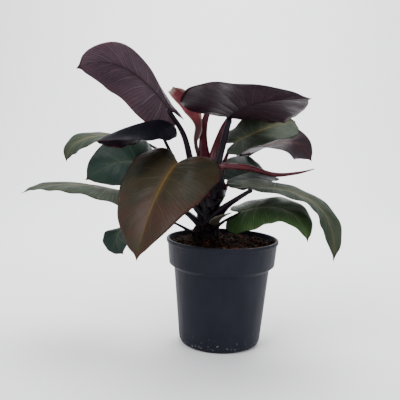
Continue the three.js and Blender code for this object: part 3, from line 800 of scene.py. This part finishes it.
@dataclass
class Leaf:
    """A heart-shaped blade, folded along its midrib, with its own petiole."""

    name: str
    tissue: Tissue
    half_width: float
    midrib: tuple[Point, Point, Point]
    face: tuple[Point, Point]
    fold: tuple[float, float, float, float]
    droop: float
    wave: tuple[float, float, float]
    petiole: Petiole
    thickness: float = 0.9
    rib_depth: float = 2.2
    vein_sweep: float = 2.4
    veins: int = 9
    quilt: float = 0.5
    frill: float = 1.3
    columns: int = 44
    rows: int = 108
    span: float = field(init=False, default=0.0)

    def __post_init__(self) -> None:
        """Measure the midrib."""
        steps = [self.rib_point(step / 60) for step in range(61)]
        self.span = sum((b - a).length for a, b in zip(steps, steps[1:]))

    def rib_point(self, share: float) -> Vector:
        """Return a point on the midrib."""
        base, pull, tip = (Vector(point) for point in self.midrib)
        return base * (1 - share) ** 2 + pull * 2 * share * (1 - share) + tip * share ** 2

    def rib_frame(self, share: float) -> tuple[Vector, Vector, Vector, Vector]:
        """Return the point, tangent, side and up of the midrib, which runs on straight past its ends."""
        place = clamp(share)
        base, pull, tip = (Vector(point) for point in self.midrib)
        tangent = ((pull - base) * (1 - place) + (tip - pull) * place).normalized()
        face = Vector(self.face[0]).lerp(Vector(self.face[1]), place)
        side = tangent.cross(face).normalized()
        point = self.rib_point(place) + tangent * (share - place) * self.span
        return point, tangent, side, side.cross(tangent)

    def sheet(self, sweep: float, hand: int, reach: float) -> tuple[Vector, Vector, float]:
        """Return a point of the blade's sheet.

        Args:
            sweep: Which side vein the point lies on, 0 at the notch and 1 at the tip.
            hand: -1 on the left half, 1 on the right half.
            reach: 0 on the midrib, 1 on the margin.

        Returns:
            The point, the way the upper face looks there, and how far it is from the midrib.
        """
        rim_across, rim_along = outline(sweep)
        across = rim_across * self.half_width * reach
        place = lerp(sweep ** self.vein_sweep, rim_along, reach)
        point, _, side, up = self.rib_frame(place)
        share = across / self.half_width
        half = 0 if hand < 0 else 1
        folded = lerp(self.fold[half], self.fold[half + 2], clamp(place))
        angle = math.radians(folded - self.droop * share)
        height, count, phase = self.wave
        ripple = height * share ** 2 * math.sin(TURN * (count * sweep + phase) + hand)
        ripple += self.frill * reach ** 4 * share * math.sin(TURN * 3.7 * count * sweep + 2.4 * hand)
        slope = math.radians(folded - 2 * self.droop * share)
        normal = up * math.cos(slope) - side * hand * math.sin(slope)
        spot = point + side * hand * across * math.cos(angle) + up * (across * math.sin(angle) + ripple)
        return spot, normal, across

    def relief(self, sweep: float, reach: float, across: float) -> float:
        """Return how far the tissue between two side veins swells up, in millimetres."""
        bulge = abs(math.sin(math.pi * self.veins * sweep)) ** 0.8 - 0.5
        near = clamp(across / 6)
        return self.quilt * bulge * near * (1 - reach ** 3)

    def layer(self, upper: bool) -> bmesh.types.BMesh:
        """Return the upper or the under face of the blade, with its two UV maps."""
        facts: dict[tuple[float, float], tuple[float, float]] = {}

        def place(u: float, v: float) -> Vector:
            hand = -1 if u < 0.5 else 1
            reach = abs(2 * u - 1) ** 1.4
            point, normal, across = self.sheet(v, hand, reach)
            skin = self.thickness / 2 * (1 - reach ** 8) * min(1.0, 14 * min(v, 1 - v))
            lift = self.relief(v, reach, across) * min(1.0, 10 * min(v, 1 - v))
            rim_across, _ = outline(v)
            facts[(round(u, 5), round(v, 5))] = (across, rim_across * self.half_width - across)
            if upper:
                groove = 0.5 * math.exp(-(across / 1.5) ** 2) * (1 - v) * min(1.0, 14 * v)
                return point + normal * (skin + lift - groove)
            swell = min(1.0, 12 * v) * (1 - v) ** 0.8
            deep = max(self.rib_depth, 1.05 * self.petiole.tip_radius)
            rib = lerp(1.2, deep, (1 - v) ** 2) * math.exp(-(across / lerp(1.2, 2.4, (1 - v) ** 2)) ** 2)
            side_rib = 0.35 * math.exp(-(math.sin(math.pi * self.veins * v) / 0.16) ** 2) * (1 - reach)
            return point - normal * (skin - lift + rib * swell + side_rib * clamp(across / 2))

        shape = grid(self.columns, self.rows, place)
        sheet = shape.loops.layers.uv["sheet"]
        blade = shape.loops.layers.uv.new("blade")
        measure = shape.loops.layers.uv.new("measure")
        for face in shape.faces:
            face.material_index = 0 if upper else 1
            for corner in face.loops:
                u, v = corner[sheet].uv
                corner[blade].uv = (0.5 + math.copysign(abs(2 * u - 1) ** 1.4, u - 0.5) / 2, v)
                across, left = facts[(round(u, 5), round(v, 5))]
                corner[measure].uv = (across / 100, left / 100)
        shape.loops.layers.uv.remove(shape.loops.layers.uv["sheet"])
        return shape

    def build(self, stem: Stem, tissues: dict[Tissue, list[bpy.types.Material]],
              stalks: dict[StalkTone, bpy.types.Material]) -> None:
        """Make the blade and its petiole.

        Args:
            stem: The stem that carries the leaf.
            tissues: The two materials of each kind of tissue.
            stalks: The material of each kind of petiole.
        """
        under = self.layer(upper=False)
        upper = self.layer(upper=True)
        shape = joined([upper, under])
        bmesh.ops.remove_doubles(shape, verts=shape.verts, dist=0.004)
        bmesh.ops.dissolve_degenerate(shape, edges=shape.edges, dist=0.001)
        bmesh.ops.recalc_face_normals(shape, faces=shape.faces)
        finish_piece(f"blade_{self.name}", shape, tissues[self.tissue], self.tissue.slot, f"leaf_{self.name}")
        point, tangent, _, up = self.rib_frame(0)
        stalk = self.petiole.shape(stem, point, tangent, up)
        tone = self.petiole.tone
        slot = f"petiole_{tone.name.lower()}"
        finish_piece(f"stalk_{self.name}", stalk, [stalks[tone]], slot, f"petiole_{self.name}")


LEAVES = (
    Leaf(
        "upper_left", Tissue.MAUVE, half_width=52,
        midrib=((-83, -5, 353), (-160, -5, 445), (-213, -55, 405)),
        face=((0.5, 0, 0.8), (-0.2, 0.9, 0.5)), fold=(25, -35, 20, 5),
        droop=20, wave=(3, 1.5, 0.2),
        petiole=Petiole(216, ((-44, -9, 262), (-62, -8, 318)), 8.2, StalkTone.DARK),
    ),
    Leaf(
        "upper_right", Tissue.BURGUNDY, half_width=78,
        midrib=((3, -5, 345), (25, -75, 370), (103, -148, 370)),
        face=((0, 0.6, 0.8), (0.3, 0.5, 0.8)), fold=(25, 20, 20, -5),
        droop=15, wave=(6, 1.8, 0.25),
        petiole=Petiole(226, ((-13, -6, 272), (-5, -2, 306)), 9, StalkTone.DARK),
    ),
    Leaf(
        "mid_left", Tissue.NEAR_BLACK, half_width=41,
        midrib=((-103, -8, 338), (-140, -70, 330), (-177, -105, 306)),
        face=((-0.1, -0.1, 1), (-0.6, -0.3, 0.7)), fold=(-25, -30, -20, -30),
        droop=20, wave=(1, 2, 0.3),
        petiole=Petiole(199, ((-55, -8, 248), (-82, -4, 292)), 5, StalkTone.DARK),
    ),
    Leaf(
        "far_left", Tissue.SAGE, half_width=41,
        midrib=((-138, 85, 307), (-260, 85, 320), (-260, 90, 263)),
        face=((0.2, 0, 1), (-0.6, -0.7, 0.4)), fold=(10, 0, 10, 5),
        droop=10, wave=(2, 2, 0.5),
        petiole=Petiole(199, ((-54, 38, 250), (-96, 60, 284)), 4.6, StalkTone.DARK),
    ),
    Leaf(
        "front", Tissue.BRONZE, half_width=71,
        midrib=((-70, -45, 277), (-100, -105, 240), (-115, -132, 152)),
        face=((-0.3, -0.4, 0.8), (-0.7, -0.6, 0.2)), fold=(0, 30, 5, 30),
        droop=20, wave=(3, 1.5, 0.05),
        petiole=Petiole(212, ((-36, -24, 246), (-56, -34, 268)), 5.5, StalkTone.RED),
    ),
    Leaf(
        "left", Tissue.DEEP_GREEN, half_width=47,
        midrib=((-112, -5, 269), (-155, -30, 290), (-209, -6, 244)),
        face=((0.1, -0.5, 0.8), (-0.1, -1, 0.2)), fold=(10, 15, 10, 20),
        droop=10, wave=(3, 2, 0.35),
        petiole=Petiole(189, ((-58, -4, 227), (-90, -3, 255)), 5, StalkTone.DARK),
    ),
    Leaf(
        "low_left", Tissue.SAGE, half_width=50,
        midrib=((-147, 22, 222), (-255, 30, 247), (-315, 20, 217)),
        face=((0, 0, 1), (0.1, -0.1, 1)), fold=(0, 0, 15, 15),
        droop=15, wave=(1.5, 2.5, 0.2),
        petiole=Petiole(174, ((-60, 5, 202), (-105, 14, 214)), 4.8, StalkTone.DARK),
    ),
    Leaf(
        "low_front_left", Tissue.DEEP_GREEN, half_width=35,
        midrib=((-125, -12, 197), (-175, -40, 167), (-147, -26, 137)),
        face=((-0.3, 0.4, 0.9), (-0.2, -1, 0.1)), fold=(10, 0, 10, 10),
        droop=15, wave=(4, 3.5, 0.9),
        petiole=Petiole(160, ((-50, -10, 174), (-80, -13, 188)), 3.4, StalkTone.DARK),
    ),
    Leaf(
        "right_behind", Tissue.SAGE, half_width=53,
        midrib=((15, 39, 306), (80, 45, 340), (115, 105, 341)),
        face=((-0.5, -0.4, 0.8), (0.5, -0.5, 0.6)), fold=(5, 10, 5, 10),
        droop=5, wave=(3, 2, 0.15),
        petiole=Petiole(230, ((-3, 12, 270), (5, 25, 292)), 4, StalkTone.RED),
    ),
    Leaf(
        "right_drooping", Tissue.BURGUNDY, half_width=44,
        midrib=((44, 138, 282), (127, 142, 333), (153, 157, 272)),
        face=((-0.4, -0.6, 0.7), (0.2, -1, 0.1)), fold=(-15, 55, -25, -10),
        droop=0, wave=(0.5, 2, 0.15),
        petiole=Petiole(219, ((-3, 44, 249), (17, 95, 278)), 4.4, StalkTone.DARK),
    ),
    Leaf(
        "low_right", Tissue.SAGE, half_width=45,
        midrib=((36, -47, 245), (170, -25, 250), (157, -66, 145)),
        face=((0.1, -0.1, 1), (0.5, -0.4, 0.7)), fold=(10, 20, 5, 5),
        droop=10, wave=(3, 2.5, 0.55),
        petiole=Petiole(184, ((0, -18, 212), (18, -36, 228)), 7, StalkTone.DARK),
    ),
    Leaf(
        "right_inner", Tissue.DEEP_GREEN, half_width=45,
        midrib=((6, 28, 249), (78, 82, 272), (69, 96, 247)),
        face=((-0.3, -0.6, 0.7), (0, -0.7, 0.7)), fold=(10, 10, 15, 15),
        droop=5, wave=(0.5, 2, 0.2),
        petiole=Petiole(206, ((-3, 13, 224), (3, 20, 238)), 4.2, StalkTone.DARK),
    ),
    Leaf(
        "low_front_right", Tissue.GREEN, half_width=43,
        midrib=((24, 0, 203), (110, -37, 238), (120, -62, 171)),
        face=((0, -0.5, 0.9), (0.6, -0.6, 0.5)), fold=(0, 0, 10, 15),
        droop=15, wave=(1, 2, 0),
        petiole=Petiole(170, ((-8, -12, 184), (6, -8, 193)), 4, StalkTone.DARK),
    ),
    Leaf(
        "back_left", Tissue.BURGUNDY, half_width=44,
        midrib=((-24, 46, 366), (-14, 105, 398), (4, 162, 390)),
        face=((0, -0.1, 1), (0, 0.1, 1)), fold=(4, 4, 4, 4),
        droop=8, wave=(2, 2, 0.1),
        petiole=Petiole(232, ((-32, 12, 288), (-33, 32, 336)), 7.6, StalkTone.RED),
    ),
    Leaf(
        "back_right", Tissue.BRONZE, half_width=42,
        midrib=((14, 62, 360), (50, 98, 378), (110, 138, 370)),
        face=((0, -0.1, 1), (0.1, 0.1, 1)), fold=(4, 4, 4, 4),
        droop=8, wave=(2, 2, 0.3),
        petiole=Petiole(234, ((-18, 8, 280), (-4, 34, 328)), 7.6, StalkTone.RED),
    ),
)


@dataclass
class NewLeaf:
    """The newest leaf, still rolled into a spear."""

    path: tuple[Point, ...] = (
        (-11, -6, 236), (-16, -20, 262), (-5, -26, 273), (33, -32, 272), (72, -38, 264),
        (107, -42, 269), (127, -45, 275),
    )
    radii: tuple[float, ...] = (3.2, 4.2, 5.2, 4.8, 3.8, 2, 0.7)
    seam: float = 0.22
    twist: float = 1.6

    def build(self) -> None:
        """Wrap the roll round its path with a step where its margin lies on it."""
        def section(share: float, angle: float) -> tuple[float, float]:
            turned = (angle / TURN + self.twist * share) % 1
            step = min(1.0, turned / 0.05)
            lap = 1 - self.seam * (turned if turned > 0.05 else lerp(1.0, 0.05, step))
            radius = along(self.radii, share) * lap
            return radius * math.cos(angle), radius * math.sin(angle)

        shape = tube(Path(self.path), 150, 44, Vector((0, 1, 0)), section)
        finish_piece("rolled_leaf", shape, [NewLeafFinish().material()], "new_leaf", "new_leaf")


@dataclass
class Sheath:
    """A trough of thin tissue that once wrapped a leaf."""

    name: str
    node: str
    midline: tuple[Point, ...]
    half_widths: tuple[float, ...]
    face: tuple[Point, Point]
    trough: float
    finish: SheathFinish
    thickness: float = 0.8
    frill: float = 0.9

    def shape(self, columns: int = 26, rows: int = 70) -> bmesh.types.BMesh:
        """Bend the sheet and give it its thickness."""
        path = Path(self.midline)
        turn_limit = math.radians(self.trough)

        def place(u: float, v: float) -> Vector:
            direction = path.direction(v)
            face = Vector(self.face[0]).lerp(Vector(self.face[1]), v)
            side = direction.cross(face).normalized()
            up = side.cross(direction)
            reach = 2 * u - 1
            width = along(self.half_widths, v) / turn_limit
            turn = turn_limit * reach
            ripple = self.frill * abs(reach) ** 4 * math.sin(TURN * 4.5 * v + 2 * reach)
            end = 2.2 * noise.noise(Vector((3 * reach, 0, 7))) * clamp((v - 0.9) / 0.1)
            spot = path.point(v) + side * width * math.sin(turn) + up * width * (1 - math.cos(turn))
            return spot + up * ripple + direction * end

        shape = grid(columns, rows, place)
        bmesh.ops.recalc_face_normals(shape, faces=shape.faces)
        bmesh.ops.solidify(shape, geom=shape.faces[:], thickness=self.thickness)
        bmesh.ops.recalc_face_normals(shape, faces=shape.faces)
        return shape

    def build(self) -> None:
        """Make the sheath and dress it."""
        finish_piece(self.name, self.shape(), [self.finish.material()], self.node, self.node)


CATAPHYLL = Sheath(
    name="open_cataphyll", node="cataphyll",
    midline=(
        (-22, 8, 240), (-37, 10, 276), (-46, 11, 306), (-43, 14, 328), (-56, 19, 352), (-74, 20, 371),
        (-87, 20, 382),
    ),
    half_widths=(3.5, 3.5, 4, 7, 18, 17, 9),
    face=((0.5, -0.8, 0.3), (0.55, -0.7, 0.45)),
    trough=55,
    finish=SheathFinish(
        "cataphyll_pink", (146, 66, 72), (108, 38, 48), (190, 172, 156), dry_width=0.16, foot=(104, 78, 84),
    ),
)

BRACT = Sheath(
    name="dry_bract", node="bract",
    midline=((-16, -15, 184), (-10, -24, 193), (0, -28, 200), (11, -27, 205)),
    half_widths=(7, 7, 5, 0.8),
    face=((0.2, 0.5, 0.8), (0, 0.4, 0.9)),
    trough=35,
    finish=SheathFinish("bract_dry", (92, 86, 70), (66, 56, 50), (150, 146, 126), dry_width=0.2),
    frill=0.3,
)


@dataclass
class OldSheaths:
    """Remains of older sheaths that clasp the stem under the petioles, dressed near-black: partly their own
    dark colour, partly painted shade of the crown.
    """

    count: int = 13
    lowest: float = 164
    highest: float = 212
    clasp: float = 13.5
    flare: float = 21
    seed: int = 5

    def build(self, stem: Stem) -> None:
        """Set the remains round the stem by rule and dress them."""
        chance = random.Random(self.seed)
        # Near-black colours: the remains' own dark tone with painted shade of the crown.
        finish = SheathFinish("old_sheath_dark_with_painted_shade", (26, 16, 22), (14, 9, 13), (46, 34, 32), dry_width=0.08)
        shapes = []
        for step in range(self.count):
            angle = TURN * step * 0.382
            outward = Vector((math.cos(angle), math.sin(angle), 0))
            height = lerp(self.lowest, self.highest, step / (self.count - 1))
            reach = chance.uniform(24, 38)
            middle = stem.centre(height)
            start = middle + outward * self.clasp
            rise = middle + outward * lerp(self.clasp, self.flare, 0.35) + UP * reach * 0.55
            end = middle + outward * self.flare + UP * reach
            look = tuple(outward)
            remains = Sheath(
                "old_sheath", "stem", (tuple(start), tuple(rise), tuple(end)),
                (9, 8.5, 6, 1.2), ((-look[0], -look[1], 0.1), (-look[0], -look[1], 0.5)), 58, finish,
                frill=0.8,
            )
            shapes.append(remains.shape(10, 22))
        finish_piece("old_sheath_remains", joined(shapes), [finish.material()], "stem")


@dataclass
class Pot:
    """The moulded nursery pot."""

    height: float = 162
    rim_radius: float = 85
    lip_depth: float = 6
    collar_top: float = 83
    collar_bottom: tuple[float, float] = (80.2, 124)
    body_top: tuple[float, float] = (72.4, 117.5)
    body_bottom: tuple[float, float] = (62.5, 12)
    foot_radius: float = 55
    foot_width: float = 7
    foot_rise: float = 3
    disc_radius: float = 22
    wall: float = 1.8
    hole_count: int = 8
    hole_radius: float = 4
    hole_circle: float = 35
    facets: int = 144

    def profile(self) -> list[tuple[float, float]]:
        """Return the wall's outline as radius and height, from the axis below to the axis within."""
        top = self.height
        lip = top - self.lip_depth
        foot_inner = self.foot_radius - self.foot_width
        outside = [
            (0, 0), (self.disc_radius, 0), (self.disc_radius + 2, self.foot_rise),
            (foot_inner, self.foot_rise), (foot_inner + 1, 0), (self.foot_radius, 0),
            (self.foot_radius + 4.5, 2.5), (self.body_bottom[0] - 0.8, 7), self.body_bottom,
            self.body_top, self.collar_bottom, (self.collar_top, lip),
            (self.rim_radius - 0.4, lip + 0.6), (self.rim_radius, lip + 2), (self.rim_radius, top - 1),
            (self.rim_radius - 0.8, top),
        ]
        inside = [
            (self.collar_top - self.wall, top),
            (self.collar_bottom[0] - self.wall, self.collar_bottom[1] + self.wall),
            (self.body_top[0] - self.wall, self.body_top[1] + self.wall),
            (self.body_bottom[0] - self.wall, self.body_bottom[1]),
            (self.foot_radius, self.foot_rise + self.wall), (self.disc_radius, self.foot_rise + self.wall),
            (self.disc_radius - 2, self.wall), (0, self.wall),
        ]
        return outside + inside

    def build(self) -> None:
        """Turn the profile, round its edges, bore its drainage holes and dress it."""
        shape = bmesh.new()
        verts = [shape.verts.new((radius, 0, height)) for radius, height in self.profile()]
        edges = [shape.edges.new(pair) for pair in zip(verts, verts[1:])]
        bmesh.ops.spin(
            shape, geom=verts + edges, axis=(0, 0, 1), cent=(0, 0, 0), dvec=(0, 0, 0),
            angle=TURN, steps=self.facets, use_merge=True,
        )
        bmesh.ops.remove_doubles(shape, verts=shape.verts, dist=0.001)
        bmesh.ops.recalc_face_normals(shape, faces=shape.faces)
        corners = [
            edge for edge in shape.edges
            if edge.is_manifold and edge.calc_face_angle() > math.radians(20)
        ]
        bmesh.ops.bevel(
            shape, geom=corners, offset=0.35, offset_type="OFFSET", affect="EDGES", segments=2,
            profile=0.5, material=-1, clamp_overlap=True,
        )
        pot = finish_piece("nursery_pot", shape, [PotFinish().material()], "pot", "pot")
        self.bore(pot)

    def bore(self, pot: bpy.types.Object) -> None:
        """Cut the drainage holes through the floor of the finished pot."""
        drills = bmesh.new()
        for step in range(self.hole_count):
            angle = TURN * (step + 0.5) / self.hole_count
            spot = Vector((math.sin(angle), math.cos(angle), 0)) * self.hole_circle
            spot.z = 3
            bmesh.ops.create_cone(
                drills, cap_ends=True, segments=32, radius1=self.hole_radius, radius2=self.hole_radius,
                depth=14, matrix=Matrix.Translation(spot),
            )
        bmesh.ops.scale(drills, vec=(MM, MM, MM), verts=drills.verts)
        mesh = bpy.data.meshes.new("drills")
        drills.to_mesh(mesh)
        drills.free()
        cutter = bpy.data.objects.new("drills", mesh)
        bpy.context.scene.collection.objects.link(cutter)
        cut = pot.modifiers.new("drainage", "BOOLEAN")
        cut.operation = "DIFFERENCE"
        cut.solver = "EXACT"
        cut.object = cutter
        graph = bpy.context.evaluated_depsgraph_get()
        bored = bpy.data.meshes.new_from_object(pot.evaluated_get(graph))
        pot.modifiers.clear()
        pot.data = bored
        bpy.data.objects.remove(cutter)
        bpy.data.meshes.remove(mesh)


@dataclass
class Soil:
    """The potting mix, with bark and fibres lying on it."""

    level: float = 153
    mound: float = 7
    mound_radius: float = 34
    relief: float = 1.6
    lumps: float = 0.24
    clearance: float = 0.35
    chips: int = 900
    fibres: int = 90
    seed: int = 11

    def height(self, x: float, y: float, stem: Stem) -> float:
        """Return the height of the soil's top at a place."""
        away = (x - stem.soil_line[0]) ** 2 + (y - stem.soil_line[1]) ** 2
        near = math.exp(-away / self.mound_radius ** 2)
        waves = (
            math.sin(self.lumps * (x + 0.6 * y))
            + math.sin(self.lumps * (1.7 * y - 0.9 * x) + 1.7)
            + math.sin(self.lumps * (2.3 * x + 1.1 * y) + 0.6)
        )
        return self.level + self.mound * near + self.relief * waves

    def edge(self, pot: Pot) -> float:
        """Return the radius at which the soil meets the wall."""
        inset = pot.wall + self.clearance
        low_radius, low = pot.collar_bottom
        share = (self.level - low - pot.wall) / (pot.height - low - pot.wall)
        return lerp(low_radius - inset, pot.collar_top - inset, share)

    def bed(self, pot: Pot, stem: Stem) -> bmesh.types.BMesh:
        """Return the body of soil, crumbly on top and moulded by the pot below."""
        floor = pot.foot_rise + pot.wall + self.clearance
        inset = pot.wall + self.clearance
        sides = [
            (0.0, floor), (pot.foot_radius - self.clearance, floor),
            (pot.body_bottom[0] - inset, pot.body_bottom[1]),
            (pot.body_top[0] - inset, pot.body_top[1] + pot.wall),
            (pot.collar_bottom[0] - inset, pot.collar_bottom[1] + pot.wall),
        ]
        rim = self.edge(pot)
        rings = 40

        def place(u: float, v: float) -> Vector:
            ring = round(v * (len(sides) + rings))
            angle = TURN * u
            if ring < len(sides):
                radius, z = sides[ring]
                return Vector((radius * math.sin(angle), -radius * math.cos(angle), z))
            radius = rim * (1 - (ring - len(sides)) / rings)
            x, y = radius * math.sin(angle), -radius * math.cos(angle)
            crumbs = 1.1 * noise.fractal(Vector((x, y, 3)) / 4.5, 1.0, 2.0, 3)
            return Vector((x, y, self.height(x, y, stem) + crumbs * clamp((rim - radius) / 3)))

        shape = grid(120, len(sides) + rings, place)
        bmesh.ops.remove_doubles(shape, verts=shape.verts, dist=0.001)
        bmesh.ops.recalc_face_normals(shape, faces=shape.faces)
        return shape

    def scatter(self, chance: random.Random, rim: float) -> tuple[float, float]:
        """Return a random place on the soil, clear of the wall."""
        radius = (rim - 3) * math.sqrt(chance.random())
        angle = TURN * chance.random()
        return radius * math.cos(angle), radius * math.sin(angle)

    def chip(self, whole: bmesh.types.BMesh, chance: random.Random, x: float, y: float, z: float) -> None:
        """Add one split bit of bark, with its own finish by chance."""
        size = chance.uniform(0.9, 3.4)
        shape = (size, size * chance.uniform(0.4, 0.9), size * chance.uniform(0.2, 0.5))
        tilt = Matrix.Rotation(chance.gauss(0, 0.5), 4, "X")
        turn = Matrix.Rotation(chance.uniform(0, TURN), 4, "Z") @ tilt
        place = Matrix.Translation((x, y, z + 0.15 * size)) @ turn
        made = bmesh.ops.create_icosphere(whole, subdivisions=1, radius=1.0)
        for vertex in made["verts"]:
            vertex.co *= chance.uniform(0.7, 1.25)
        bmesh.ops.scale(whole, vec=shape, verts=made["verts"])
        bmesh.ops.transform(whole, matrix=place, verts=made["verts"])
        finish = chance.choice((0, 0, 0, 1, 1, 2))
        for face in {face for vertex in made["verts"] for face in vertex.link_faces}:
            face.material_index = finish

    def fibre(self, chance: random.Random, x: float, y: float, stem: Stem) -> bmesh.types.BMesh:
        """Return one loose strand of coir that lies on the soil."""
        heading = chance.uniform(0, TURN)
        length = chance.uniform(6, 20)
        points = []
        for _ in range(4):
            points.append((x, y, self.height(x, y, stem) + 0.9 + chance.uniform(-0.3, 1.1)))
            heading += chance.gauss(0, 0.45)
            x += length / 3 * math.cos(heading)
            y += length / 3 * math.sin(heading)
        radius = chance.uniform(0.16, 0.38)
        return tube(Path(points), 12, 5, UP + Vector((0.3, 0.2, 0)), lambda share, angle: (
            radius * math.cos(angle), radius * math.sin(angle)))

    def build(self, pot: Pot, stem: Stem) -> None:
        """Make the bed, its chips and its fibres, and dress them."""
        bed_finish = SoilFinish("soil_mix", (22, 15, 13), (62, 38, 28), (120, 84, 58))
        finish_piece("soil_bed", self.bed(pot, stem), [bed_finish.material()], "soil", "soil")
        chance = random.Random(self.seed)
        rim = self.edge(pot)
        litter = bmesh.new()
        for _ in range(self.chips):
            x, y = self.scatter(chance, rim)
            self.chip(litter, chance, x, y, self.height(x, y, stem) + chance.uniform(-0.2, 0.9))
        finishes = [
            SoilFinish("bark_dark", (28, 18, 16), (54, 34, 26), (84, 58, 44), depth=0.8),
            SoilFinish("bark_red", (110, 54, 37), (134, 76, 50), (158, 114, 82), depth=0.8),
            SoilFinish("bark_tan", (132, 98, 68), (98, 64, 42), (168, 136, 102), depth=0.8),
        ]
        dressed = [finish.material() for finish in finishes]
        finish_piece("soil_bark_chips", litter, dressed, "soil")
        strands = []
        for _ in range(self.fibres):
            x, y = self.scatter(chance, rim - 18)
            strands.append(self.fibre(chance, x, y, stem))
        coir = SoilFinish("coir_strands", (106, 74, 50), (72, 48, 34), (150, 118, 84), depth=0.3)
        finish_piece("soil_coir_strands", joined(strands), [coir.material()], "soil")


@dataclass
class Studio:
    """The floor, the lights, the air and the camera."""

    eye: Point = (-16.6, -950, 342.8)
    pitch: float = 0.1295
    heading: float = -0.0204
    roll: float = 0.0298
    lens: float = 57.04
    sensor: float = 36
    floor_reach: float = 4000
    floor_front: float = -2500
    floor_run: float = 3600
    sweep_start: float = 1200
    sweep_radius: float = 900

    def build(self) -> None:
        """Set the whole studio up."""
        self.floor()
        self.air()
        self.light("key_softbox", (-800, -900, 1300), (0, 0, 240), 900, 21.0)
        self.light("fill_softbox", (1150, -800, 700), (0, 0, 220), 900, 6.0)
        self.light("top_softbox", (150, 250, 1500), (0, 0, 240), 1000, 9.0)
        self.light("backdrop_softbox", (0, 1000, 1900), (0, 1900, 0), 1600, 75.0)
        self.camera()

    def floor(self) -> None:
        """Make a pale floor that sweeps up into a wall behind the plant."""
        def place(u: float, v: float) -> Vector:
            x = lerp(-self.floor_reach, self.floor_reach, u)
            run = lerp(self.floor_front, self.floor_run, v)
            start, radius = self.sweep_start, self.sweep_radius
            quarter = radius * math.pi / 2
            if run < start:
                return Vector((x, run, 0))
            if run < start + quarter:
                angle = (run - start) / radius
                return Vector((x, start + radius * math.sin(angle), radius * (1 - math.cos(angle))))
            return Vector((x, start + radius, radius + run - start - quarter))

        shape = grid(4, 90, place)
        bmesh.ops.scale(shape, vec=(MM, MM, MM), verts=shape.verts)
        bmesh.ops.recalc_face_normals(shape, faces=shape.faces)
        for face in shape.faces:
            face.smooth = True
        mesh = bpy.data.meshes.new("studio_floor")
        shape.to_mesh(mesh)
        shape.free()
        sketch = Sketch("studio_paper")
        sketch.dress(paint((246, 246, 247), 1.0), 0.9)
        mesh.materials.append(sketch.material)
        floor = bpy.data.objects.new("studio_floor", mesh)
        bpy.context.scene.collection.objects.link(floor)

    @staticmethod
    def air() -> None:
        """Fill the studio with even pale light."""
        world = bpy.data.worlds.new("studio_air")
        world.use_nodes = True
        background = world.node_tree.nodes["Background"]
        background.inputs["Color"].default_value = (0.94, 0.96, 1.0, 1.0)
        background.inputs["Strength"].default_value = 0.6
        bpy.context.scene.world = world

    @staticmethod
    def light(name: str, place: Point, target: Point, size: float, power: float) -> None:
        """Hang one square softbox.

        Args:
            name: The light's name.
            place: Where it hangs, in millimetres.
            target: What it looks at, in millimetres.
            size: Its side, in millimetres.
            power: Its power in watts.
        """
        lamp = bpy.data.lights.new(name, "AREA")
        lamp.size = size * MM
        lamp.energy = power
        holder = bpy.data.objects.new(name, lamp)
        holder.location = Vector(place) * MM
        aim = Vector(target) - Vector(place)
        holder.rotation_euler = aim.to_track_quat("-Z", "Y").to_euler()
        bpy.context.scene.collection.objects.link(holder)

    def camera(self) -> None:
        """Set the camera at the photograph's viewing angle."""
        forward = Vector((
            math.sin(self.heading) * math.cos(self.pitch),
            math.cos(self.heading) * math.cos(self.pitch),
            -math.sin(self.pitch),
        ))
        level = forward.cross(UP).normalized()
        above = level.cross(forward)
        right = level * math.cos(self.roll) + above * math.sin(self.roll)
        top = above * math.cos(self.roll) - level * math.sin(self.roll)
        lens = bpy.data.cameras.new("studio_camera")
        lens.lens = self.lens
        lens.sensor_width = self.sensor
        lens.clip_start = 0.02
        holder = bpy.data.objects.new("studio_camera", lens)
        turn = Matrix((right, top, -forward)).transposed().to_4x4()
        holder.matrix_world = Matrix.Translation(Vector(self.eye) * MM) @ turn
        bpy.context.scene.collection.objects.link(holder)
        bpy.context.scene.camera = holder


def write_sizes() -> None:
    """Bring the scene's placements up to date."""
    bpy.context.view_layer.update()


def main() -> None:
    """Build the studio, the pot and the plant in order."""
    logging.basicConfig(level=logging.INFO, format="%(message)s")
    Studio().build()
    pot = Pot()
    stem = Stem()
    pot.build()
    Soil().build(pot, stem)
    stem.build()
    OldSheaths().build(stem)
    tissues = {tissue: [side.material() for side in tissue.value] for tissue in Tissue}
    stalks = {tone: tone.value.material() for tone in StalkTone}
    for leaf in LEAVES:
        leaf.build(stem, tissues, stalks)
    NewLeaf().build()
    CATAPHYLL.build()
    BRACT.build()
    write_sizes()


if __name__ == "__main__":
    main()
